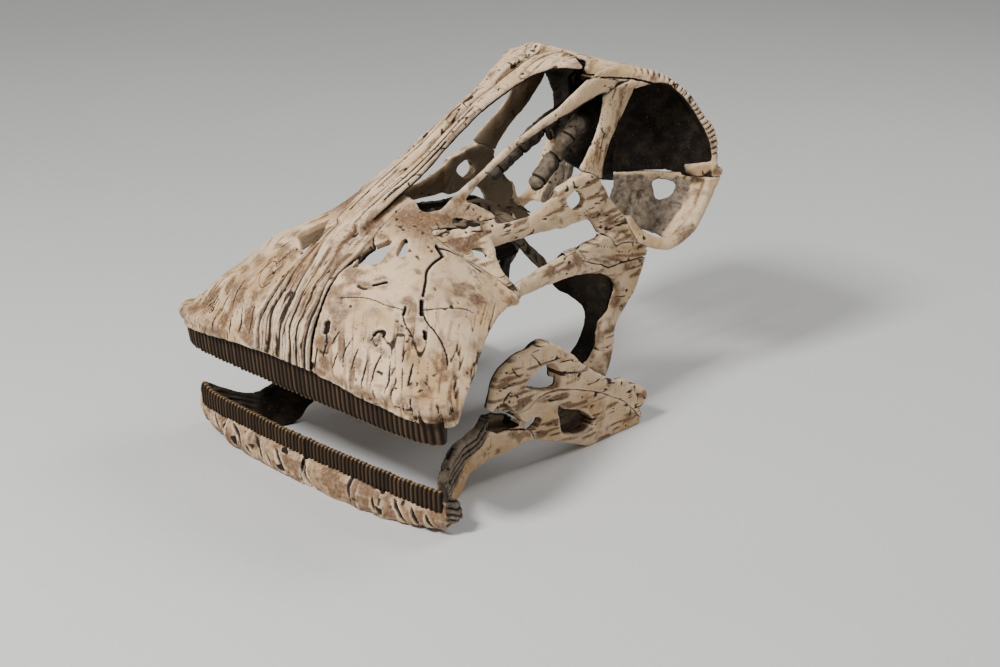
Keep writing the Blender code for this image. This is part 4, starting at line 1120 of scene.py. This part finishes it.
def work_dentary(skin, outer):
    p, side = skin.points, skin.side
    x, y, z = p.T
    x_near = np.abs(x)
    front = (outer > 0.5) & (y < 24)
    chin = outer * step(30, 14, y) * step(29, 24, z)
    lobes = np.sin(2 * math.pi * (x / 23 + 0.5 * rough(p, 30, 91, 1))) * step(20, 60, x_near)
    skin.rise += chin * (0.9 * lobes + 1.3 * rough(p, 8, 93 + side, 3))
    pits = step(0.68, 0.8, grain(p, 4.6, 95 + side)) * step(0.5, 0.66, grain(p, 19, 97 + side))
    skin.rise -= chin * 1.5 * pits
    skin.more(stain=chin * 0.95 * pits)
    # The chin is painted darker all over and darker still towards its bottom under the teeth:
    # painted shade; the mottle in it is its own colour.
    skin.more(tint=chin * (0.45 + 0.5 * step(0.35, 0.6, grain(p, (9, 9, 7), 96))))
    skin.more(tint=0.75 * chin * step(22, 12, z) * grain(p, 7, 98))
    for width, depth, line in JAW_SLOTS:
        skin.carve(front, [0, 2], width, depth, line, stain=0.75)
    skin.carve(front, [0, 2], *SYMPHYSIS, fade=False)
    rim = outer * step(24, 30, z) * step(30, 20, y)
    skin.more(stain=0.8 * rim)
    # The ridged ribbon that climbs from the corner of the jaw to its top.
    edge, along, _ = line_distance(p[:, [1, 2]], RIBBON_LINE)
    fall = at([(0, 30), (30, 24), (60, 15), (85, 11), (120, 6)], along)
    ribbon = outer * step(0, 9, y) * step(fall, fall - 3, edge)
    stripes = 0.5 + 0.5 * np.sin(2 * math.pi * (edge / 4.2 + 0.35 * rough(p, 12, 99, 2)))
    skin.rise += ribbon * (1.6 * stripes**0.6 - 1.0)
    # The ribbon's troughs are darkened, and it is greyed and gets a little painted shade.
    skin.more(stain=ribbon * (0.9 * step(0.3, 0.02, stripes)), grey=0.9 * ribbon,
              inner=0.22 * ribbon)
    # On the animal's right, the jaw's inner face behind the corner gets deep painted shade.
    if side < 0:
        skin.more(inner=0.95 * step(0, 12, y) * (skin.normals[:, 0] > -0.3))
        skin.grey *= 0.3
    flank = (outer > 0.5) & (y > 30)
    for width, depth, line in JAW_CRACKS:
        skin.carve(flank, [1, 2], width, depth, line)
    shaded = outer * inside(p[:, [1, 2]], JAW_CLEFT)
    skin.more(inner=0.55 * shaded)
    skin.rise -= 1.5 * shaded
    bar = outer * step(60, 80, y)
    skin.rise += bar * 0.7 * rough(p, 11, 111, 2)


def work_jaw_side(bone):
    """The work on a bone in the side of the lower jaw."""

    def work(skin, outer):
        p = skin.points
        x, y, z = p.T
        skin.rise += outer * 1.1 * rough(p, 16, SEEDS[bone] + 3, 2)
        for width, depth, line in JAW_CRACKS:
            skin.carve(outer > 0.5, [1, 2], width, depth, line)
        fissures(skin, y + 0.3 * z, z * 1.2, outer, SEEDS[bone] + 8, depth=0.5, share=0.09)
        if bone == "angular":
            # Painted shade in the sunk hollows of the jaw's face.
            hollow = sum(inside(p[:, [1, 2]], outline) for _, outline in JAW_HOLLOWS.values())
            skin.more(inner=0.6 * hollow * step(94, 91.5, np.abs(x)))

    return work


def work_palate(skin, _):
    p = skin.points
    # Painted shade over all of the palate.
    skin.more(inner=0.5)
    skin.rise += 1.0 * rough(p, 9, 121, 3)
    skin.more(stain=0.8 * step(0.55, 0.7, grain(p, 6, 125)))


def work_braincase(skin, _):
    p = skin.points
    rods = step(262, 252, p[:, 1])
    front = step(330, 316, p[:, 1])
    # The braincase's front, seen through the orbit, gets painted shade, less on the rods on the
    # animal's left; its back stays bone-coloured.
    skin.inner = np.maximum(skin.inner * front, front * (1 - 0.65 * rods * step(-5, 5, p[:, 0])))
    skin.more(grey=0.85 * rods)
    skin.rise += (1.2 + 2.4 * rods) * rough(p, 14, 131, 3)
    rings = np.abs(np.sin(math.pi * (p[:, 1] + 0.8 * p[:, 2] + 4 * rough(p, 20, 133, 1)) / 29))
    skin.rise -= rods * 1.4 * step(0.25, 0.0, rings)
    skin.more(stain=rods * 0.9 * step(0.25, 0.0, rings))


WORK = {
    "premaxilla": work_premaxilla,
    "maxilla": work_maxilla,
    "nasal": work_nasal,
    "frontal": work_frontal,
    "lacrimal": work_bar("lacrimal", (0.2, -0.55, -1)),
    "jugal": work_bar("jugal", (0, 1, 0.1)),
    "quadratojugal": work_bar("quadratojugal", (0.2, 1, 0)),
    "squamosal": work_bar("squamosal", (0, 1, -0.3)),
    "postorbital": work_postorbital,
    "quadrate": work_quadrate,
    "dentary": work_dentary,
    "surangular": work_jaw_side("surangular"),
    "angular": work_jaw_side("angular"),
    "palate": work_palate,
}


def dress(bones, grain_size):
    """Works each left bone and its mirror image, and puts them in the scene."""
    shade = bone_material()
    for bone, obj in bones.items():
        remesh(obj, grain_size, SKIN_ROUNDS)
        for side, label in SIDES:
            skin = Skin(side_mesh(obj, side), side)
            WORK[bone](skin, weather(skin, bone))
            slot = "inner" if bone in INNER_BONES else "bone"
            skin.finish(f"fine_{bone}_{label}", f"{bone}_{label}", slot, shade)
    remove(bones.values())


# Tooth batteries

UPPER_ROW = {"half": 129.0, "teeth": 30, "tip": 71.5, "root": 101.0, "lean": -3.0}
LOWER_ROW = {"half": 127.0, "teeth": 34, "tip": 35.0, "root": 16.5, "lean": 1.0}
NEAR_REACH = 5.5  # how much further the upper battery goes on the animal's left
TOOTH_THICK = 6.5
STEPS_PER_TOOTH = 10
CORNER = 0.86  # share of the half width at which the row turns the corner
WORN = 0.86  # share of a tooth's height above which it is worn thin
FRONT_POINTS = 9
BACK_SHARES = (0.97, 0.5, 0.0)  # shares of the height at which the back has points
# Painted shade on the back of the tooth band.
BACK_SHADE = 0.3


def upper_front(s):
    """Front of the upper tooth row at a share of its half width, and its slope."""
    return -16.0 + 2.0 * s**2 + 10.0 * s**14, 0.35 * s**13


def lower_front(s):
    """Front of the lower tooth row at a share of its half width, and its slope."""
    return -8.0 + 6.0 * s**2 + 2.0 * s**12, 0.1 * s


def battery(name, row, front, side, seed):
    """One half of a tooth battery, as one band of closely packed rounded columns with worn tips."""
    teeth, half, tip, root = row["teeth"], row["half"], row["tip"], row["root"]
    count = teeth * STEPS_PER_TOOTH
    down = 1 if root > tip else -1
    jitter = grain(np.arange(teeth)[:, None] * np.array((7.3, 3.1, 1.7)) + 0.4, 1.0, seed) - 0.5
    rings, stain, along, tone = [], [], [], []
    for i in range(count + 1):
        tooth = min(i // STEPS_PER_TOOTH, teeth - 1)
        swell = max(math.sin(math.pi * (i / STEPS_PER_TOOTH - tooth)), 0.0)
        x = MIDLINE + (half - MIDLINE) * i / count
        y, slope = front(x / half)
        out = unit((slope, -1, 0))
        end = tip + down * (1.3 * (1 - swell**0.5) + 1.3 * jitter[tooth])
        if side < 0 and down < 0:
            end += 2.5 * step(CORNER, 1.0, x / half)
        top = root - (13.0 * step(CORNER, 0.94, x / half) if down > 0 else 0)
        swollen = 1.5 * swell**0.55 - 0.9 + 0.5 * jitter[tooth]
        profile = []
        for t in np.linspace(0, 1, FRONT_POINTS):
            worn = 1.4 * max(t - WORN, 0) / (1 - WORN)
            sunk = 2.6 * step(0.24, 0.0, t) if down < 0 else 0
            profile.append((t, swollen - worn - sunk))
        profile += [(t, 2.4 * (t > 0.9) - TOOTH_THICK) for t in BACK_SHARES]
        ring = []
        for t, proud in profile:
            place = np.array((x, y, top + (end - top) * t))
            ring.append(place + out * proud + np.array((0, row["lean"] * (1 - t), 0)))
            along.append(t)
        # Painted shade in the gaps between the columns and on the back of the band.
        stain += [step(1.0, 0.62, swell)] * FRONT_POINTS + [BACK_SHADE] * len(BACK_SHARES)
        tone += [jitter[tooth] + 0.5] * len(ring)
        rings.append([(side * a, b, c) for a, b, c in ring])
    obj = loft(name + "_plain", rings)
    mesh = obj.data
    mesh.name = name
    store(mesh, stain=stain, along=along, tone=tone)
    mesh.shade_smooth()
    mesh.materials.append(tooth_material())
    obj.name = name
    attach(obj, "root")


# Materials


class Number:
    """A value in a shader, on which ordinary arithmetic adds Math nodes."""

    def __init__(self, shade, socket):
        self.shade = shade
        self.socket = socket

    def join(self, operation, other):
        sockets = {0: self, 1: other}
        return self.shade.node("ShaderNodeMath", {"operation": operation}, sockets)

    def __add__(self, other):
        return self.join("ADD", other)

    def __sub__(self, other):
        return self.join("SUBTRACT", other)

    def __mul__(self, other):
        return self.join("MULTIPLY", other)

    __radd__ = __add__

    def between(self, low, high):
        """0 at low, 1 at high, and smooth between."""
        sockets = {"Value": self, "From Min": low, "From Max": high}
        return self.shade.node("ShaderNodeMapRange", {"interpolation_type": "SMOOTHSTEP"}, sockets)


class Shade:
    """A material and the nodes in it."""

    def __init__(self, name):
        self.material = bpy.data.materials.new(name)
        self.material.use_nodes = True
        self.nodes = self.material.node_tree.nodes
        self.links = self.material.node_tree.links
        self.shader = self.nodes["Principled BSDF"]

    def node(self, kind, settings=None, sockets=None, output=0):
        """Adds a node of a type with its settings, then the values or links of its sockets."""
        made = self.nodes.new(kind)
        for key, value in (settings or {}).items():
            setattr(made, key, value)
        for key, value in (sockets or {}).items():
            self.set(made.inputs[key], value)
        return Number(self, made.outputs[output])

    def set(self, socket, value):
        """Links a socket, or gives it a number, a colour or the name of one in the settings."""
        if isinstance(value, str):
            value = tuple(getattr(bpy.context.scene.skull_colours, value))
        if isinstance(value, Number):
            self.links.new(value.socket, socket)
        elif socket.type == "RGBA":
            socket.default_value = (*value, 1)
        else:
            socket.default_value = value

    def layer(self, name):
        """A value that was stored on the mesh while it was worked."""
        return self.node("ShaderNodeAttribute", {"attribute_name": name}, output=2)

    def places(self, scale):
        """Where a point is on the object, in millimetres, times a scale."""
        spot = self.node("ShaderNodeTexCoord", output=3)
        sockets = {0: spot, 1: tuple(value / MM for value in scale)}
        return self.node("ShaderNodeVectorMath", {"operation": "MULTIPLY"}, sockets)

    def noise(self, size, detail=3.0, roughness=0.55, scale=(1, 1, 1), twist=0.0):
        """Cloudy values about 0.5, whose lumps are the given number of millimetres across."""
        sockets = {"Vector": self.places(scale), "Scale": 1 / size, "Detail": detail,
                   "Roughness": roughness, "Distortion": twist}
        return self.node("ShaderNodeTexNoise", None, sockets)

    def mix(self, share, first, second):
        """The first colour, turning into the second as the share goes from 0 to 1."""
        settings = {"data_type": "RGBA", "clamp_factor": True}
        return self.node("ShaderNodeMix", settings, {0: share, 6: first, 7: second}, output=2)

    def coats(self, colour, *coats):
        """A colour with others laid over it, each with its share."""
        for share, coat in coats:
            colour = self.mix(share, colour, coat)
        return colour

    def finish(self, colour, roughness, height, depth, strength, gloss=0.22):
        """Joins the colour, the roughness and a height for the bump, and gives the material."""
        relief = {"Height": height, "Distance": depth * MM, "Strength": strength}
        bump = self.node("ShaderNodeBump", None, relief)
        self.shader.inputs["Specular IOR Level"].default_value = gloss
        for name, value in (("Base Color", colour), ("Roughness", roughness), ("Normal", bump)):
            self.set(self.shader.inputs[name], value)
        return self.material


@cache
def bone_material():
    """Weathered cream and tan bone, with painted shade in its hollows and on its faces inside the
    skull.
    """
    shade = Shade("weathered_bone")
    hollow, stain = shade.layer("hollow"), shade.layer("stain")
    inner, grey, tint = shade.layer("inner"), shade.layer("grey"), shade.layer("tint")
    clouds, patches = shade.noise(42, 3), shade.noise(11, 4, 0.6)
    streaks = shade.noise(6, 4, 0.6, scale=(1.0, 0.16, 0.16), twist=0.4)
    ragged = shade.noise(2.2, 5, 0.7)
    browned = shade.mix(ragged.between(0.3, 0.6), "umber", "brown")
    blotch = shade.noise(17, 5, 0.65).between(0.54, 0.66)
    blotch = blotch * shade.noise(3.2, 4, 0.65).between(0.42, 0.6)
    # Painted shade for faces inside the skull, from the darkest to a softer one.
    shade_colour = shade.mix(shade.noise(9, 4, 0.6).between(0.4, 0.7), "darkest_shade", "olive")
    ash = shade.mix(shade.noise(7, 5, 0.75).between(0.4, 0.62), "ash", "slate")
    specks = shade.noise(1.5, 2, 0.5).between(0.64, 0.72) * shade.noise(12, 2).between(0.38, 0.58)
    colour = shade.coats(
        "cream",
        (clouds.between(0.42, 0.64), "tan"),
        (patches.between(0.48, 0.66) * 0.6, "rosy"),
        (streaks.between(0.52, 0.68) * 0.45, "tan"),
        ((tint + ragged * 0.5 - 0.25).between(0.02, 0.8) * 0.92, browned),
        (blotch * 0.7, "brown"),
        ((hollow * -0.55).between(0.05, 1.0) * 0.6, "worn"),
        # Painted shade in the hollows.
        (hollow.between(0.05, 1.0) * 0.8, "brown"),
        # Painted shade on the faces inside the skull.
        (inner.between(0.0, 0.75), shade_colour),
        (grey * 0.85, ash),
        (specks * 0.75, "brown"),
        # Cracks, pits, grooves and gaps near black, partly their own colour and partly painted
        # shade.
        (stain.between(0.05, 0.7) * 0.96, "crack_and_shade"),
    )
    height = shade.noise(1.3, 4, 0.6) + streaks * 0.6 + shade.noise(0.5, 2) * 0.35
    roughness = patches * 0.25 + stain * 0.2 + inner * 0.25 + 0.42
    return shade.finish(colour, roughness, height, 0.5, 0.55)


@cache
def tooth_material():
    """Dark brown enamel in narrow columns, worn pale at the tips, with painted shade making the
    gaps black and darkening the back and the roots.
    """
    shade = Shade("dark_enamel")
    stain, along, tone = shade.layer("stain"), shade.layer("along"), shade.layer("tone")
    greyed = shade.noise(4, 4, 0.6, scale=(1, 0.3, 0.3)).between(0.5, 0.7)
    colour = shade.coats(
        "enamel",
        (tone.between(0.1, 0.9), "enamel_light"),
        (greyed * 0.5, "slate"),
        (along.between(0.94, 0.99) * 0.4, "tan"),
        # Painted shade towards the roots.
        (along.between(0.42, 0.1) * 0.75, "crack_and_shade"),
        # Painted shade in the gaps and on the back.
        (stain * 0.95, "crack_and_shade"),
    )
    height = shade.noise(1.2, 3, 0.6, scale=(1, 1, 0.25))
    return shade.finish(colour, 0.5 + tone * 0.12, height, 0.3, 0.4, 0.1)


@cache
def floor_material():
    """Pale smooth board with a trace of unevenness."""
    shade = Shade("pale_floor")
    pale = tuple(bpy.context.scene.skull_stage.floor)
    darker = tuple(0.88 * value for value in pale)
    colour = shade.mix(shade.noise(420, 3).between(0.3, 0.7) * 0.25, pale, darker)
    return shade.finish(colour, 0.55 + shade.noise(90, 2) * 0.1, shade.noise(2.0, 2), 0.05, 0.1)


# Settings


def colour_setting(name, text, value):
    return FloatVectorProperty(name=name, description=text, default=value, subtype="COLOR", min=0,
                               max=1)


def grain_setting(name, text, value):
    return FloatProperty(name=name, description=text, default=value, min=0.0006, max=0.004,
                         unit="LENGTH", precision=4)


def power_setting(name, text, value):
    return FloatProperty(name=name, description=text, default=value, min=0, unit="POWER")


class SkullSizes(PropertyGroup):
    """Sizes that a user may change."""

    grain: grain_setting("Skin grain", "Distance between the points of a bone's surface", 0.0009)
    quick_grain: grain_setting("Trial grain", "The same distance while trying things out", 0.0018)


class SkullColours(PropertyGroup):
    """Colours of bone and teeth."""

    cream: colour_setting("Cream", "Clean bone", (0.83, 0.60, 0.37))
    rosy: colour_setting("Rosy", "Pale rosy patches", (0.75, 0.53, 0.385))
    tan: colour_setting("Tan", "Aged bone", (0.60, 0.385, 0.19))
    worn: colour_setting("Worn", "Rubbed edges", (0.84, 0.68, 0.50))
    # Brown is also the colour of the painted shade in the hollows.
    brown: colour_setting("Brown", "Stains and hollows", (0.12, 0.062, 0.033))
    umber: colour_setting("Umber", "Light stains", (0.30, 0.165, 0.08))
    # Crack is the near black of cracks and pits, and of painted shade in grooves, in the tooth gaps
    # and towards the tooth roots.
    crack_and_shade: colour_setting("Crack", "Depth of cracks and sutures", (0.014, 0.008, 0.005))
    # The next two colours are painted shade on the faces inside the skull.
    darkest_shade: colour_setting("Vault", "Darkest inner bone", (0.0045, 0.0028, 0.0016))
    olive: colour_setting("Olive", "Lighter inner bone", (0.026, 0.0165, 0.009))
    ash: colour_setting("Ash", "Light grey filled bone", (0.19, 0.16, 0.125))
    slate: colour_setting("Slate", "Dark grey filled bone", (0.045, 0.036, 0.028))
    enamel: colour_setting("Enamel", "Darker tooth columns", (0.034, 0.021, 0.012))
    enamel_light: colour_setting("Light enamel", "Lighter tooth columns", (0.090, 0.056, 0.030))


class SkullStage(PropertyGroup):
    """Floor, light and camera."""

    floor: colour_setting("Floor", "Colour of the floor", (0.72, 0.715, 0.70))
    key: power_setting("Key light", "Strength of the main light", 38.0)
    back: power_setting("Back light", "Strength of the light behind", 9.0)
    fill: FloatProperty(name="Fill", description="Strength of the light from all round",
                        default=0.26, min=0)
    focal: FloatProperty(name="Focal length", description="Focal length of the camera",
                         default=66.9, min=10, unit="CAMERA")


def chosen_grain(context):
    """The grain of the bones' surfaces in this run, in millimetres."""
    sizes = context.scene.skull_sizes
    return (sizes.grain) / MM


# Pieces


class SKULL_OT_cranium(Operator):
    """Sculpts the outer bones of the cranium, on both sides"""

    bl_idname = "skull.cranium"
    bl_label = "Cranium"

    def execute(self, context):
        dress(cranium_bones(), chosen_grain(context))
        return {"FINISHED"}


class SKULL_OT_lower_jaw(Operator):
    """Sculpts the bones of the lower jaw, on both sides"""

    bl_idname = "skull.lower_jaw"
    bl_label = "Lower jaw"

    def execute(self, context):
        dress(jaw_bones(), chosen_grain(context))
        return {"FINISHED"}


class SKULL_OT_inner_bones(Operator):
    """Sculpts the palate and the braincase"""

    bl_idname = "skull.inner_bones"
    bl_label = "Palate and braincase"

    def execute(self, context):
        palate = clay("palate", solids(PALATE_STRUTS, {}))
        cut(palate, box("away", *FAR_SIDE))
        dress({"palate": palate}, chosen_grain(context))
        made = solids(BRAINCASE_STRUTS, {})
        made += [linked(obj.name + "_far", side_mesh(obj, -1)) for obj in made]
        braincase = clay("braincase_clay", made)
        remesh(braincase, chosen_grain(context), SKIN_ROUNDS)
        skin = Skin(side_mesh(braincase, 1), 1)
        work_braincase(skin, weather(skin, "braincase"))
        skin.finish("fine_braincase", "braincase", "inner", bone_material())
        remove([braincase])
        return {"FINISHED"}


class SKULL_OT_teeth(Operator):
    """Sets the tooth batteries into the jaws"""

    bl_idname = "skull.teeth"
    bl_label = "Tooth batteries"

    def execute(self, context):
        for side, label in SIDES:
            row = {**UPPER_ROW, "half": UPPER_ROW["half"] + (NEAR_REACH if side > 0 else 0)}
            battery(f"upper_teeth_{label}", row, upper_front, side, 7 + side)
            battery(f"lower_teeth_{label}", LOWER_ROW, lower_front, side, 17 + side)
        return {"FINISHED"}


# Each light's name, size and place, in metres, and the camera's place and angles.
LIGHTS = [("key", 0.35, (0.0, -1.3, 1.35)), ("back", 0.7, (0.25, 0.9, 1.3))]
LIT_PLACE = (0, 0, 0.1)
CAMERA_PLACE = (0.9068, -0.7596 - MID_Y * MM, 0.573)
CAMERA_TURN = 43.78
CAMERA_DROP = 21.4
CAMERA_ROLL = 0.55
SENSOR_WIDTH = 36
FLOOR_HALF = 6


class SKULL_OT_stage(Operator):
    """Lays the floor and sets the lights and the camera"""

    bl_idname = "skull.stage"
    bl_label = "Stage"

    def execute(self, context):
        look = context.scene.skull_stage
        bm = bmesh.new()
        bmesh.ops.create_grid(bm, x_segments=8, y_segments=8, size=FLOOR_HALF)
        mesh = bpy.data.meshes.new("floor")
        bm.to_mesh(mesh)
        bm.free()
        mesh.materials.append(floor_material())
        linked("floor", mesh)
        for name, size, place in LIGHTS:
            lamp = bpy.data.lights.new(name, "AREA")
            lamp.energy = getattr(look, name)
            lamp.size = size
            light = bpy.data.objects.new(name, lamp)
            light.location = place
            sight = Vector(LIT_PLACE) - light.location
            light.rotation_euler = sight.to_track_quat("-Z", "Y").to_euler()
            context.scene.collection.objects.link(light)
        world = bpy.data.worlds.new("soft_room")
        world.use_nodes = True
        ground = world.node_tree.nodes["Background"]
        ground.inputs["Color"].default_value = (1, 1, 1, 1)
        ground.inputs["Strength"].default_value = look.fill
        context.scene.world = world
        camera = bpy.data.objects.new("camera", bpy.data.cameras.new("camera"))
        camera.data.sensor_width = SENSOR_WIDTH
        camera.data.lens = look.focal
        angles = ((CAMERA_TURN, "Z"), (90 - CAMERA_DROP, "X"), (CAMERA_ROLL, "Z"))
        turn, tilt, roll = (Matrix.Rotation(math.radians(angle), 4, axis) for angle, axis in angles)
        camera.matrix_world = Matrix.Translation(CAMERA_PLACE) @ turn @ tilt @ roll
        context.scene.collection.objects.link(camera)
        context.scene.camera = camera
        return {"FINISHED"}


class SKULL_PT_panel(Panel):
    """Lists the pieces and their settings"""

    bl_label = "Skull"
    bl_space_type = "VIEW_3D"
    bl_region_type = "UI"
    bl_category = "Skull"

    def draw(self, context):
        layout = self.layout
        for operator in OPERATORS:
            layout.operator(operator.bl_idname)
        for setting in GROUPS:
            group_box = layout.box()
            group = getattr(context.scene, setting)
            for name in group.bl_rna.properties.keys():
                if name not in ("rna_type", "name"):
                    group_box.prop(group, name)


OPERATORS = (SKULL_OT_stage, SKULL_OT_cranium, SKULL_OT_lower_jaw, SKULL_OT_inner_bones,
             SKULL_OT_teeth)
GROUPS = {"skull_sizes": SkullSizes, "skull_colours": SkullColours, "skull_stage": SkullStage}
CLASSES = (*GROUPS.values(), *OPERATORS, SKULL_PT_panel)


def register():
    for made in CLASSES:
        bpy.utils.register_class(made)
    for name, group in GROUPS.items():
        setattr(bpy.types.Scene, name, PointerProperty(type=group))


def unregister():
    for name in GROUPS:
        delattr(bpy.types.Scene, name)
    for made in reversed(CLASSES):
        bpy.utils.unregister_class(made)


def main():
    register()
    bpy.ops.skull.stage()
    bpy.ops.skull.cranium()
    bpy.ops.skull.lower_jaw()
    bpy.ops.skull.inner_bones()
    bpy.ops.skull.teeth()


if __name__ == "__main__":
    main()
